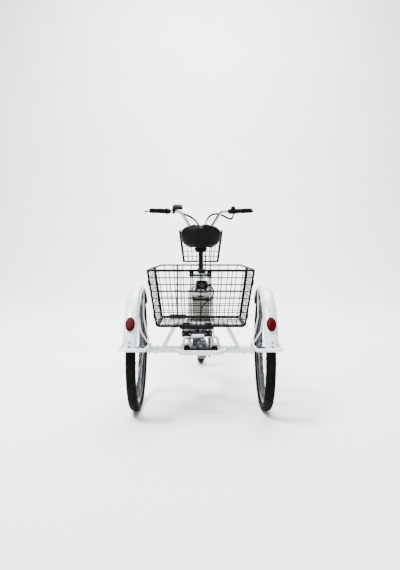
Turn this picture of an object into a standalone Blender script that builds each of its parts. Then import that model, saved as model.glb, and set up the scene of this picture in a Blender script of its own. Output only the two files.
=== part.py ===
# Electric tricycle with a step-through frame, a rear wire basket and a mid-mounted rear motor.
# Metres, +Z up, +Y forward, +X to the rider's right. The origin is the middle of the footprint.

import bmesh
import bpy
from math import asin, atan2, cos, pi, radians, sin, sqrt, tan
from mathutils import Matrix, Vector

# Overall layout
WHEEL_R = 0.300
WHEELBASE = 1.170
TRACK = 0.640
GUARD_REACH = 0.352
GUARD_R = 0.0075
GAP = 0.0003
AXLE_Z = WHEEL_R
LENGTH = GUARD_REACH + GUARD_R + WHEELBASE + WHEEL_R
REAR_Y = -LENGTH / 2 + GUARD_REACH + GUARD_R
FRONT_Y = REAR_Y + WHEELBASE
WHEEL_X = TRACK / 2

# Wheels
WHEEL_SIDES = 36
TYRE_W = 0.043
RIM_R = 0.2595
RIM_W = 0.027
RIM_DEPTH = 0.016
SPOKES_A_SIDE = 5
SPOKE_W = 0.0026
SPOKE_LEAN = 50
HUB_R = 0.016
FLANGE_R = 0.031
FLANGE_X = 0.026
HALF_SHAFT_R = 0.0080
SHAFT_END = 0.0503
FRONT_AXLE_R = 0.0050
FRONT_HUB_HALF = 0.0470
DRUM_R = 0.043
ROUND_SIDES = 16

# Mudguards
FENDER_R = 0.328
FENDER_W = 0.062
FENDER_T = 0.0016
FENDER_DROP = 0.022
REAR_FENDER_FROM = 10
REAR_FENDER_TO = 140
FRONT_FENDER_FROM = 50
FRONT_FENDER_TO = 160
REFLECTOR_ANGLE = 30
REFLECTOR_W = 0.039
REFLECTOR_H = 0.062
REFLECTOR_T = 0.010
STAY_R = 0.0040

# Rear frame
HOUSING_R = 0.0180
HOUSING_BORE = 0.0120
HOUSING_IN = 0.085
HOUSING_OUT = 0.266
COLLAR_X = 0.222
COLLAR_R = 0.0215
COLLAR_W = 0.012
YOKE_Y = 0.150
YOKE_X = 0.100
YOKE_R = 0.0130
BRIDGE_R = 0.0080
BRIDGE_X = 0.070
BRIDGE_RISE = 0.068
BUMPER_R = 0.0100
BUMPER_REACH = 0.140
BUMPER_X = 0.126
BUMPER_BACK_X = 0.098
BUMPER_RISE = 0.008
GUARD_IN_X = 0.266
GUARD_BACK_X = 0.248
GUARD_OUT_X = 0.3625
GUARD_RISE = 0.060
GUARD_LEG = 0.125
ARCH_R = 0.0090
ARCH_X = 0.185
ARCH_TOP_X = 0.125
ARCH_LEAN = 0.060
CLAMP_H = 0.068

# Rear basket
BASKET_FLOOR_Z = 0.449
BASKET_TOP_Z = 0.716
BASKET_BACK_TOP = 0.300
BASKET_BACK_FLOOR = 0.240
BASKET_FRONT = -0.100
BASKET_TOP_W = 0.490
BASKET_FLOOR_W = 0.414
BASKET_FRONT_LIFT = 0.011
WIRE_W = 0.0032
FRAME_WIRE_W = 0.0070
WIRE_T = 0.0040

# Main frame
BB_Y = 0.4386
BB_Z = 0.320
BB_R = 0.0205
BB_HALF = 0.034
BRACE_RISE = 0.115
SEAT_ANGLE = 72
SEAT_TUBE_R = 0.0170
SEAT_TUBE_TOP = 0.690
SEAT_BORE_FLOOR = 0.500
MAIN_TUBE_R = 0.0220
SPINE_R = 0.0190
FLANGE_T = 0.006
FLANGE_AHEAD = YOKE_Y + YOKE_R - 0.001
FLANGE_W = 0.060
BATTERY_W = 0.092
BATTERY_D = 0.072
BATTERY_L = 0.200
BATTERY_FOOT = 0.090
BATTERY_SETBACK = 0.0405
CONTROLLER_W = 0.072
CONTROLLER_L = 0.045
BATTERY_GUARD_R = 0.0100
BATTERY_GUARD_X = 0.060
BATTERY_GUARD_TOP = 0.607
BATTERY_GUARD_LEAN = 0.045

# Seat
POST_R = 0.0127
POST_TOP = 0.812
POST_FOOT = 0.560
SADDLE_L = 0.262
SADDLE_W = 0.238
NOSE_W = 0.052
SADDLE_TOP = 0.932
SADDLE_BASE = 0.858
SADDLE_SKIRT = 0.822
SADDLE_HOLLOW = 0.66
SADDLE_BACK = -0.408
SPRING_R = 0.0150
SPRING_WIRE = 0.0022
SPRING_TURNS = 3
SPRING_X = 0.052
SPRING_BACK = 0.052
SADDLE_BAR_Z = 0.820

# Steering
HEAD_ANGLE = 70
RAKE = 0.045
FORK_X = 0.0540
BLADE_R = 0.0095
CROWN_S = 0.347
CROWN_H = 0.028
STEERER_R = 0.0125
HEAD_R = 0.0190
HEAD_FROM = 0.388
HEAD_TO = 0.515
STEM_R = 0.0111
BAR_R = 0.0111
BAR_Z = 0.930
BAR_RISE_X = 0.135
GRIP_Z = 1.052
BAR_END_X = 0.326
BAR_SWEEP = 0.116
GRIP_R = 0.0160
GRIP_L = 0.118
THROTTLE_L = 0.045
THROTTLE_BODY_L = 0.022
BRACKET_L = 0.022
LEVER_L = 0.135
LEVER_AHEAD = 0.040

# Front basket
FB_FLOOR_Z = 0.712
FB_TOP_Z = 0.935
FB_BACK = 0.462
FB_FLOOR_L = 0.180
FB_TOP_L = 0.225
FB_TOP_W = 0.300
FB_FLOOR_W = 0.240

# Drive
PITCH = 0.0127
RING_TEETH = 36
COG_TEETH = 18
CHAIN_X = 0.0450
CHAIN_W = 0.0050
TOOTH_T = 0.0024
CASE_R = 0.045
CASE_FROM = -0.014
CASE_TO = 0.026
CRANK_L = 0.160
CRANK_X = 0.062
CRANK_T = 0.014
CRANK_ANGLE = 27.5
CRANK_AXLE_R = 0.0080
PEDAL_IN = 0.088
PEDAL_W = 0.100
PEDAL_D = 0.066
PEDAL_H = 0.024
SPINDLE_R = 0.0060
MOTOR_R = 0.036
MOTOR_FROM = -0.098
MOTOR_TO = 0.026
MOTOR_Y = 0.088
MOTOR_Z = 0.372


def collection(name, hidden=False):
    made = bpy.data.collections.new(name)
    bpy.context.scene.collection.children.link(made)
    made.hide_render = hidden
    return made


for old in list(bpy.data.objects):
    bpy.data.objects.remove(old, do_unlink=True)
PARTS = collection("electric_tricycle")
CUTTERS = collection("cutters", hidden=True)


def finish(name, colour, roughness, metallic=0.0):
    made = bpy.data.materials.new(name)
    made.use_nodes = True
    shader = made.node_tree.nodes["Principled BSDF"]
    shader.inputs["Base Color"].default_value = (*colour, 1.0)
    shader.inputs["Roughness"].default_value = roughness
    shader.inputs["Metallic"].default_value = metallic
    return made


WHITE = finish("white_enamel", (0.80, 0.84, 0.86), 0.30)
BLACK_WIRE = finish("black_coated_wire", (0.015, 0.014, 0.013), 0.45)
RUBBER = finish("tyre_rubber", (0.012, 0.012, 0.012), 0.80)
ALLOY = finish("brushed_alloy", (0.55, 0.56, 0.57), 0.35, 1.0)
STEEL = finish("zinc_steel", (0.45, 0.46, 0.48), 0.40, 1.0)
CHROME = finish("bar_chrome", (0.62, 0.63, 0.65), 0.15, 1.0)
GOLD = finish("yellow_zinc", (0.42, 0.36, 0.18), 0.40, 1.0)
PLASTIC = finish("black_plastic", (0.018, 0.018, 0.020), 0.50)
GREY = finish("grey_case", (0.27, 0.27, 0.25), 0.50)
SEAT = finish("black_seat_cover", (0.015, 0.017, 0.020), 0.50)
RED = finish("red_reflector", (0.24, 0.006, 0.010), 0.20)


# Placing and joining

def show(obj, surface, smooth_angle=35):
    """A finished part: its material, and smooth shading broken at sharp edges."""
    obj.data.materials.clear()
    obj.data.materials.append(surface)
    if obj.type == "MESH":
        obj.data.shade_smooth()
        obj.data.set_sharp_from_angle(angle=radians(smooth_angle))
    return obj


def mesh_part(name, bm):
    bmesh.ops.recalc_face_normals(bm, faces=bm.faces)
    mesh = bpy.data.meshes.new(name)
    bm.to_mesh(mesh)
    bm.free()
    obj = bpy.data.objects.new(name, mesh)
    PARTS.objects.link(obj)
    return obj


def hide_as_cutter(obj):
    PARTS.objects.unlink(obj)
    CUTTERS.objects.link(obj)
    obj.hide_render = True
    obj.display_type = "WIRE"


def combine(target, operation, others, solver="EXACT"):
    for other in others:
        tool = target.modifiers.new(other.name, "BOOLEAN")
        tool.operation = operation
        tool.object = other
        tool.solver = solver
        hide_as_cutter(other)
    return target


def union(target, *others):
    return combine(target, "UNION", others)


def cut(target, *others):
    return combine(target, "DIFFERENCE", others)


def along(direction):
    """Turns local Z to this direction, and local X as near to it as stays square."""
    z = Vector(direction).normalized()
    guide = Vector((0, 0, 1)) if abs(z.z) < 0.9 else Vector((0, 1, 0))
    x = guide.cross(z).normalized()
    return Matrix((x, z.cross(x), z)).transposed().to_4x4()


def put(obj, centre, turn=None):
    obj.matrix_world = Matrix.Translation(centre) @ (turn or Matrix.Identity(4))
    return obj


def join_flat_faces(obj):
    """Neighbouring faces in one plane become one, where cutting has split them."""
    flatten = obj.modifiers.new("join_flat_faces", "DECIMATE")
    flatten.decimate_type = "DISSOLVE"
    flatten.angle_limit = radians(0.2)
    return obj


# Basic shapes

def box(name, size, centre, turn=None, bevel=0.0):
    bm = bmesh.new()
    bmesh.ops.create_cube(bm, size=1.0, matrix=Matrix.Diagonal((*size, 1.0)))
    if bevel:
        bmesh.ops.bevel(bm, geom=list(bm.edges), offset=bevel, segments=1, affect="EDGES")
    return put(mesh_part(name, bm), centre, turn)


def rod(name, start, end, radius, sides=ROUND_SIDES, end_radius=None):
    start, end = Vector(start), Vector(end)
    bm = bmesh.new()
    turn = Matrix.Rotation(pi / sides, 4, "Z")
    bmesh.ops.create_cone(bm, cap_ends=True, segments=sides, radius1=radius, matrix=turn,
                          radius2=radius if end_radius is None else end_radius, depth=(end - start).length)
    return put(mesh_part(name, bm), (start + end) / 2, along(end - start))


def bore_r(radius, sides=ROUND_SIDES, clearance=GAP):
    """Corner radius of a many-sided hole whose flats clear a turning rod."""
    return (radius + clearance) / cos(pi / sides)


def turned(name, profile, centre, direction, sides=ROUND_SIDES, closed=False):
    """A profile of (radius, height) pairs, top to bottom on its outer side, turned about a line."""
    phase = pi / sides
    points = [(r * cos(phase), r * sin(phase), h) for r, h in profile]
    count = len(points)
    edges = [(i, i + 1) for i in range(count - 1)]
    if closed:
        edges.append((count - 1, 0))
    mesh = bpy.data.meshes.new(name)
    mesh.from_pydata(points, edges, [])
    obj = bpy.data.objects.new(name, mesh)
    PARTS.objects.link(obj)
    screw = obj.modifiers.new("turn", "SCREW")
    screw.steps = sides
    screw.render_steps = sides
    screw.use_merge_vertices = True
    screw.merge_threshold = 0.00001
    screw.use_smooth_shade = True
    return put(obj, centre, along(direction))


def rounded(points, radius, steps=4):
    """The corners of a path made into arcs."""
    points = [Vector(p) for p in points]
    path = [points[0]]
    for before, corner, after in zip(points, points[1:], points[2:]):
        into = (before - corner).normalized()
        out = (after - corner).normalized()
        half = into.angle(out) / 2
        reach = min(radius / tan(half), (before - corner).length * 0.49, (after - corner).length * 0.49)
        bend = reach * tan(half)
        middle = corner + (into + out).normalized() * (bend / sin(half))
        first = corner + into * reach - middle
        last = corner + out * reach - middle
        sweep = first.angle(last)
        axis = first.cross(last)
        for i in range(steps + 1):
            path.append(middle + Matrix.Rotation(sweep * i / steps, 3, axis) @ first)
    path.append(points[-1])
    return path


def smooth(points, per_span):
    """A soft curve through hand-chosen points."""
    points = [Vector(p) for p in points]
    ends = [points[0] * 2 - points[1]] + points + [points[-1] * 2 - points[-2]]
    path = []
    for a, b, c, d in zip(ends, ends[1:], ends[2:], ends[3:]):
        for i in range(per_span):
            t = i / per_span
            path.append(0.5 * (2 * b + (c - a) * t + (2 * a - 5 * b + 4 * c - d) * t ** 2
                               + (3 * b - a - 3 * c + d) * t ** 3))
    path.append(points[-1])
    return path


def tube(name, path, radius, resolution=2):
    """A round bar along a path, as a curve with a bevel and filled caps."""
    curve = bpy.data.curves.new(name, "CURVE")
    curve.dimensions = "3D"
    curve.bevel_depth = radius
    curve.bevel_resolution = resolution
    curve.use_fill_caps = True
    spline = curve.splines.new("POLY")
    spline.points.add(len(path) - 1)
    for point, place in zip(spline.points, path):
        point.co = (*place, 1.0)
    obj = bpy.data.objects.new(name, curve)
    PARTS.objects.link(obj)
    return obj


def as_mesh(obj):
    """The same shape as a mesh with its caps joined, so that it can be cut."""
    bpy.context.view_layer.update()
    graph = bpy.context.evaluated_depsgraph_get()
    mesh = bpy.data.meshes.new_from_object(obj.evaluated_get(graph))
    bm = bmesh.new()
    bm.from_mesh(mesh)
    bmesh.ops.remove_doubles(bm, verts=bm.verts, dist=0.00001)
    bmesh.ops.recalc_face_normals(bm, faces=bm.faces)
    if bm.calc_volume(signed=True) < 0:
        bmesh.ops.reverse_faces(bm, faces=bm.faces)
    bm.to_mesh(mesh)
    bm.free()
    name = obj.name
    solid = bpy.data.objects.new(name + "_solid", mesh)
    PARTS.objects.link(solid)
    solid.matrix_world = obj.matrix_world.copy()
    bpy.data.objects.remove(obj, do_unlink=True)
    solid.name = name
    return solid


def pipe(name, path, radius, resolution=2):
    return as_mesh(tube(name, path, radius, resolution))


def flat_outline(name, loops, thickness, centre, turn):
    """A flat plate from an outer loop and the loops of its holes."""
    curve = bpy.data.curves.new(name, "CURVE")
    curve.dimensions = "2D"
    curve.fill_mode = "BOTH"
    curve.extrude = thickness / 2
    for loop in loops:
        spline = curve.splines.new("POLY")
        spline.points.add(len(loop) - 1)
        spline.use_cyclic_u = True
        for point, (x, y) in zip(spline.points, loop):
            point.co = (x, y, 0.0, 1.0)
    obj = bpy.data.objects.new(name, curve)
    PARTS.objects.link(obj)
    return as_mesh(put(obj, centre, turn))


def facing(x_axis, y_axis):
    """Turns a flat outline so that its own X and Y lie along these."""
    x = Vector(x_axis).normalized()
    y = Vector(y_axis).normalized()
    return Matrix((x, y, x.cross(y))).transposed().to_4x4()


SIDE_ON = facing((0, 1, 0), (0, 0, 1))


def circle(radius, sides, centre=(0.0, 0.0), phase=0.0):
    return [(centre[0] + radius * cos(2 * pi * i / sides + phase),
             centre[1] + radius * sin(2 * pi * i / sides + phase)) for i in range(sides)]


# Joint bodies

def joint_at(name, place, direction=(0, 0, 1)):
    """An empty on a joint's axis, which carries the pieces that move with it."""
    empty = bpy.data.objects.new(name, None)
    empty.empty_display_size = 0.03
    PARTS.objects.link(empty)
    return put(empty, Vector(place), along(direction))


def carry(empty, *pieces):
    bpy.context.view_layer.update()
    for piece in pieces:
        world = piece.matrix_world.copy()
        piece.parent = empty
        piece.matrix_parent_inverse = empty.matrix_world.inverted()
        piece.matrix_world = world


# Steering frame: across, forward of the axis and up along it

HEAD_UP = Vector((0, -cos(radians(HEAD_ANGLE)), sin(radians(HEAD_ANGLE))))
HEAD_FWD = Vector((0, sin(radians(HEAD_ANGLE)), cos(radians(HEAD_ANGLE))))
FRONT_HUB = Vector((0, FRONT_Y, AXLE_Z))
STEER_FOOT = FRONT_HUB - RAKE * HEAD_FWD


def steer(across, forward, up):
    return STEER_FOOT + Vector((across, 0, 0)) + forward * HEAD_FWD + up * HEAD_UP


def steer_up_to(z):
    return (z - STEER_FOOT.z) / HEAD_UP.z


STEER_TURN = facing((1, 0, 0), HEAD_FWD)
SEAT_UP = Vector((0, -cos(radians(SEAT_ANGLE)), sin(radians(SEAT_ANGLE))))
SEAT_BACK = Vector((0, -sin(radians(SEAT_ANGLE)), -cos(radians(SEAT_ANGLE))))
BB = Vector((0, REAR_Y + BB_Y, BB_Z))
SEAT_TURN = facing((1, 0, 0), -SEAT_BACK)


def seat_line(z):
    return BB + SEAT_UP * ((z - BB.z) / SEAT_UP.z)


def rear(x, back, z):
    """A point measured backward from the rear axle."""
    return Vector((x, REAR_Y - back, z))


# Wheels

def spokes(name, centre):
    bm = bmesh.new()
    for side in (-1, 1):
        for i in range(SPOKES_A_SIDE):
            at_rim = radians(360 / SPOKES_A_SIDE * (i + 0.25 * (side + 1)))
            at_hub = at_rim + side * radians(SPOKE_LEAN)
            inner = FLANGE_R - 0.005
            outer = RIM_R - RIM_DEPTH + 0.004
            foot = Vector((side * FLANGE_X, inner * cos(at_hub), inner * sin(at_hub)))
            head = Vector((side * 0.003, outer * cos(at_rim), outer * sin(at_rim)))
            matrix = Matrix.Translation((foot + head) / 2) @ along(head - foot)
            bmesh.ops.create_cone(bm, cap_ends=True, segments=4, radius1=SPOKE_W / 2 * sqrt(2),
                                  radius2=SPOKE_W / 2 * sqrt(2), depth=(head - foot).length, matrix=matrix)
    return put(mesh_part(name, bm), centre)


def tyre(name, centre):
    w = TYRE_W / 2
    seat = RIM_R + GAP
    crown = WHEEL_R / cos(pi / WHEEL_SIDES)
    height = crown - seat
    half = [(seat, w * 0.60), (crown - height * 0.42, w), (crown, w * 0.36)]
    profile = half + [(r, -h) for r, h in reversed(half)]
    return show(turned(name, profile, centre, (1, 0, 0), WHEEL_SIDES, closed=True), RUBBER, 50)


def rim_and_spokes(name, centre, hub):
    w = RIM_W / 2
    lip = RIM_R
    profile = [(lip, w), (lip, -w), (lip - RIM_DEPTH, -w * 0.50), (lip - RIM_DEPTH, w * 0.50)]
    rim = turned(name, profile, centre, (1, 0, 0), WHEEL_SIDES, closed=True)
    return show(union(rim, spokes(name + "_spokes", centre), hub), ALLOY)


def hub_flanges(half, body):
    """Outer side of a hub, from +x to -x, as (radius, height)."""
    return [(body, half), (FLANGE_R, FLANGE_X + 0.0020), (FLANGE_R, FLANGE_X - 0.0020), (body, FLANGE_X - 0.004),
            (body, -FLANGE_X + 0.004), (FLANGE_R, -FLANGE_X + 0.0020), (FLANGE_R, -FLANGE_X - 0.0020),
            (body, -half)]


def rear_wheel(side, word):
    centre = Vector((side * WHEEL_X, REAR_Y, AXLE_Z))
    nut_x = 0.036
    hub_profile = [(0.0, nut_x + 0.008), (0.0095, nut_x + 0.008)] + hub_flanges(nut_x, HUB_R)
    hub_profile += [(HALF_SHAFT_R, -nut_x), (HALF_SHAFT_R, SHAFT_END - WHEEL_X),
                    (0.0, SHAFT_END - WHEEL_X)]
    hub = turned("rear_hub_" + word, hub_profile, centre, (side, 0, 0), 10)
    wheel = [tyre("rear_tyre_" + word, centre), rim_and_spokes("rear_rim_" + word, centre, hub)]
    carry(joint_at("rear_wheel_" + word, centre, (1, 0, 0)), *wheel)


def front_wheel():
    drum_from = -FLANGE_X - 0.004
    bore = bore_r(FRONT_AXLE_R, 12)
    profile = [(HUB_R * 0.8, FRONT_HUB_HALF - 0.004), (HUB_R * 0.8, FLANGE_X + 0.004), (FLANGE_R, FLANGE_X + 0.0025),
               (FLANGE_R, FLANGE_X - 0.0025), (HUB_R, FLANGE_X - 0.004), (HUB_R, -0.012), (DRUM_R, -0.016),
               (DRUM_R, drum_from - 0.005), (bore, drum_from - 0.005), (bore, FRONT_HUB_HALF - 0.004)]
    profile = [(r, -x) for r, x in reversed(profile)]
    hub = turned("front_hub", profile, FRONT_HUB, (1, 0, 0), 12, closed=True)
    wheel = [tyre("front_tyre", FRONT_HUB), rim_and_spokes("front_rim", FRONT_HUB, hub)]
    wheel_joint = joint_at("front_wheel", FRONT_HUB, (1, 0, 0))
    carry(wheel_joint, *wheel)
    return wheel_joint


# Mudguards

def fender_surface(name, centre, start, stop, backward):
    """A crowned strip over a wheel, narrowing to a round tail, given thickness inward."""
    step = 360 / WHEEL_SIDES
    half = FENDER_W / 2
    section = [(-1.0, -FENDER_DROP), (-0.74, -FENDER_DROP * 0.25), (0.0, 0.0), (0.74, -FENDER_DROP * 0.25),
               (1.0, -FENDER_DROP)]
    rows = int(round((stop - start) / step))
    bm = bmesh.new()
    grid = []
    for i in range(rows + 1):
        angle = radians(start + i * step)
        narrow = {0: 0.62, rows: 0.62}.get(i, 1.0)
        row = []
        for across, drop in section:
            r = FENDER_R + drop * (1.0 if narrow == 1.0 else 0.45)
            row.append(bm.verts.new((across * half * narrow, -backward * r * cos(angle), r * sin(angle))))
        grid.append(row)
    for low, high in zip(grid, grid[1:]):
        for j in range(len(section) - 1):
            bm.faces.new((low[j], low[j + 1], high[j + 1], high[j]))
    obj = mesh_part(name, bm)
    solid = obj.modifiers.new("thickness", "SOLIDIFY")
    solid.thickness = FENDER_T
    solid.offset = -1.0 if obj.data.polygons[0].normal.dot(obj.data.polygons[0].center) > 0 else 1.0
    return put(obj, centre)


def wheel_clearance(name, centre, width=0.2):
    """A cutter whose flats clear the mudguard's crown."""
    return rod(name, centre - Vector((width / 2, 0, 0)), centre + Vector((width / 2, 0, 0)),
               bore_r(FENDER_R, WHEEL_SIDES), WHEEL_SIDES)


def rear_fender(side, word):
    centre = Vector((side * WHEEL_X, REAR_Y, AXLE_Z))
    fender = fender_surface("rear_fender_" + word, centre, REAR_FENDER_FROM, REAR_FENDER_TO, 1)
    inner = side * (WHEEL_X - FENDER_W / 2 + 0.0008)
    foot_x = side * (HOUSING_OUT - 0.002)
    stays = []
    for i, (angle, reach) in enumerate(((92, 0.0), (40, 0.030))):
        r = FENDER_R - FENDER_DROP + 0.003
        top = rear(inner, r * cos(radians(angle)), AXLE_Z + r * sin(radians(angle)))
        foot = rear(foot_x, reach, AXLE_Z + 0.046 - reach * 0.3)
        knee = foot.lerp(top, 0.45)
        knee.x = inner
        stays.append(pipe(f"stay_{word}_{i}", [foot, knee, top], STAY_R, 0))
    plate = box("stay_plate_" + word, (0.003, 0.062, 0.022), rear(foot_x, 0.010, AXLE_Z + 0.042))
    tongue = box("stay_tongue_" + word, (0.003, 0.020, 0.040), rear(foot_x, 0.0, AXLE_Z + 0.025))
    union(fender, *stays, plate, tongue)
    collar = rod("stay_seat_" + word, rear(side * 0.20, 0, AXLE_Z), rear(side * 0.30, 0, AXLE_Z), COLLAR_R + GAP, 12)
    return show(cut(fender, collar), WHITE)


def reflector(side, word):
    centre = Vector((side * WHEEL_X, REAR_Y, AXLE_Z))
    angle = radians(REFLECTOR_ANGLE)
    out = Vector((0, -cos(angle), sin(angle)))
    up = Vector((0, sin(angle), cos(angle)))
    turn = facing((1, 0, 0), up)
    bm = bmesh.new()
    rings = [(0.0, 0.30), (0.0015, 1.0), (0.0065, 1.0), (REFLECTOR_T, 0.72)]
    sides = 14
    loops = []
    for height, share in rings:
        loops.append([bm.verts.new((REFLECTOR_W / 2 * share * cos(2 * pi * i / sides),
                                    REFLECTOR_H / 2 * share * sin(2 * pi * i / sides), height))
                      for i in range(sides)])
    for low, high in zip(loops, loops[1:]):
        for i in range(sides):
            j = (i + 1) % sides
            bm.faces.new((low[i], low[j], high[j], high[i]))
    bm.faces.new(loops[0])
    bm.faces.new(loops[-1])
    obj = mesh_part("reflector_" + word, bm)
    put(obj, centre + out * (FENDER_R + GAP), turn)
    return show(obj, RED)


# Rear frame

def yoke_path():
    low = AXLE_Z - 0.005
    return rounded([rear(-YOKE_X, 0, AXLE_Z), rear(-YOKE_X, -YOKE_Y, low), rear(YOKE_X, -YOKE_Y, low),
                    rear(YOKE_X, 0, AXLE_Z)], 0.040, 3)


def bridge_path():
    foot_x, top_x = HOUSING_IN + 0.010, BRIDGE_X + 0.012
    lid = AXLE_Z + BRIDGE_RISE
    return rounded([rear(-foot_x, 0, AXLE_Z), rear(-top_x, 0, lid), rear(top_x, 0, lid), rear(foot_x, 0, AXLE_Z)],
                   0.028, 3)


def battery_guard_path():
    top_y = -YOKE_Y - BATTERY_GUARD_LEAN
    x, top = BATTERY_GUARD_X, BATTERY_GUARD_TOP
    return rounded([rear(-x, -YOKE_Y, AXLE_Z), rear(-x, top_y, top), rear(x, top_y, top), rear(x, -YOKE_Y, AXLE_Z)],
                   0.035, 3)


def rear_frame():
    frame = rod("rear_frame", (-HOUSING_OUT, REAR_Y, AXLE_Z), (-HOUSING_IN, REAR_Y, AXLE_Z), HOUSING_R, 12)
    pieces = [rod("housing_right", (HOUSING_IN, REAR_Y, AXLE_Z), (HOUSING_OUT, REAR_Y, AXLE_Z), HOUSING_R, 12)]
    for side in (-1, 1):
        for x in (side * COLLAR_X, side * (HOUSING_OUT - COLLAR_W / 2)):
            pieces.append(rod("collar", (x - COLLAR_W / 2, REAR_Y, AXLE_Z), (x + COLLAR_W / 2, REAR_Y, AXLE_Z),
                              COLLAR_R, 12))
    pieces.append(pipe("yoke", yoke_path(), YOKE_R, 1))
    pieces.append(pipe("bridge", bridge_path(), BRIDGE_R, 1))
    back = BUMPER_REACH
    bumper = rounded([rear(-BUMPER_X, 0, AXLE_Z), rear(-BUMPER_BACK_X, back, AXLE_Z + BUMPER_RISE),
                      rear(BUMPER_BACK_X, back, AXLE_Z + BUMPER_RISE), rear(BUMPER_X, 0, AXLE_Z)], 0.045, 4)
    pieces.append(pipe("bumper", bumper, BUMPER_R, 2))
    pieces.append(pipe("battery_guard", battery_guard_path(), BATTERY_GUARD_R, 1))
    rail_z = BATTERY_GUARD_TOP - 0.045
    rail_y = -YOKE_Y - BATTERY_GUARD_LEAN * (rail_z - AXLE_Z) / (BATTERY_GUARD_TOP - AXLE_Z)
    pieces.append(rod("guard_rail", rear(-BATTERY_GUARD_X, rail_y, rail_z), rear(BATTERY_GUARD_X, rail_y, rail_z),
                      0.005, 8))
    pieces.append(box("rear_flange", (FLANGE_W, FLANGE_T, FLANGE_W), rear(0, -FLANGE_AHEAD, AXLE_Z - 0.005)))
    union(frame, *pieces)
    deep = HOUSING_OUT - COLLAR_W
    bore = rod("housing_bore", (-deep, REAR_Y, AXLE_Z), (deep, REAR_Y, AXLE_Z), HOUSING_BORE, 12)
    seat = rod("bearing_seat", (-WHEEL_X, REAR_Y, AXLE_Z), (WHEEL_X, REAR_Y, AXLE_Z), bore_r(HALF_SHAFT_R, 12), 12)
    return show(join_flat_faces(cut(frame, bore, seat)), WHITE)


def axle_cradle():
    """Two bearing blocks at the inner ends of the housings and the bar that ties them."""
    long = 0.030
    x = HOUSING_IN - GAP - long / 2
    bar_back = CASE_R + 0.014
    made = box("axle_cradle", (long, 0.056, 0.038), rear(-x, 0.006, AXLE_Z + 0.002))
    other = box("block_right", (long, 0.056, 0.038), rear(x, 0.006, AXLE_Z + 0.002))
    bar = rounded([rear(-x, 0.015, AXLE_Z + 0.004), rear(-x, bar_back, AXLE_Z + 0.006),
                   rear(x, bar_back, AXLE_Z + 0.006), rear(x, 0.015, AXLE_Z + 0.004)], 0.015, 3)
    union(made, other, pipe("tie_bar", bar, 0.0055, 1))
    bore = rod("cradle_bore", (-WHEEL_X, REAR_Y, AXLE_Z), (WHEEL_X, REAR_Y, AXLE_Z), bore_r(HALF_SHAFT_R, 12), 12)
    room = pipe("bridge_room", bridge_path(), BRIDGE_R + 2 * GAP, 1)
    return show(cut(made, bore, room), PLASTIC)


def wheel_guard(side, word):
    rise = AXLE_Z + GUARD_RISE
    start = rear(side * GUARD_IN_X, 0.030, AXLE_Z + 0.020)
    path = rounded([start, rear(side * GUARD_BACK_X, GUARD_REACH, rise), rear(side * GUARD_OUT_X, GUARD_REACH, rise),
                    rear(side * GUARD_OUT_X, GUARD_REACH - GUARD_LEG, rise + 0.004)], 0.026, 4)
    guard = pipe("wheel_guard_" + word, path, GUARD_R, 1)
    tab = box("guard_tab_" + word, (0.008, 0.050, 0.014), rear(side * (GUARD_IN_X - 0.010), 0.020, AXLE_Z + 0.020))
    union(guard, tab)
    collar = rod("guard_seat_" + word, (side * 0.20, REAR_Y, AXLE_Z), (side * 0.30, REAR_Y, AXLE_Z),
                 COLLAR_R + 2 * GAP, 12)
    return show(cut(guard, collar), WHITE)


def basket_arch():
    top = BASKET_FLOOR_Z - WIRE_T / 2 - GAP - ARCH_R
    path = rounded([rear(-ARCH_X, 0, AXLE_Z), rear(-ARCH_TOP_X, ARCH_LEAN, top), rear(ARCH_TOP_X, ARCH_LEAN, top),
                    rear(ARCH_X, 0, AXLE_Z)], 0.030, 3)
    arch = pipe("basket_support_arch", path, ARCH_R, 2)
    room = rod("housing_room", (-0.3, REAR_Y, AXLE_Z), (0.3, REAR_Y, AXLE_Z), HOUSING_R + 2 * GAP, 12)
    return show(cut(arch, room), WHITE)


def clamp_bar():
    """The clamps that hold the basket's floor to the arch."""
    top = BASKET_FLOOR_Z - WIRE_T / 2 - GAP
    arch_z = top - ARCH_R
    made = box("basket_clamp_bar", (0.170, 0.022, 0.010), rear(-0.020, ARCH_LEAN, arch_z - ARCH_R - 0.010))
    left = box("clamp_left", (0.058, 0.034, CLAMP_H), rear(-0.070, ARCH_LEAN, top - CLAMP_H / 2), bevel=0.004)
    right = box("clamp_right", (0.048, 0.034, CLAMP_H), rear(0.036, ARCH_LEAN, top - CLAMP_H / 2), bevel=0.004)
    union(made, left, right)
    room = rod("clamp_room", rear(-0.2, ARCH_LEAN, arch_z), rear(0.2, ARCH_LEAN, arch_z), bore_r(ARCH_R, 8), 8)
    return show(cut(made, room), PLASTIC)


# Rear basket

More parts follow.
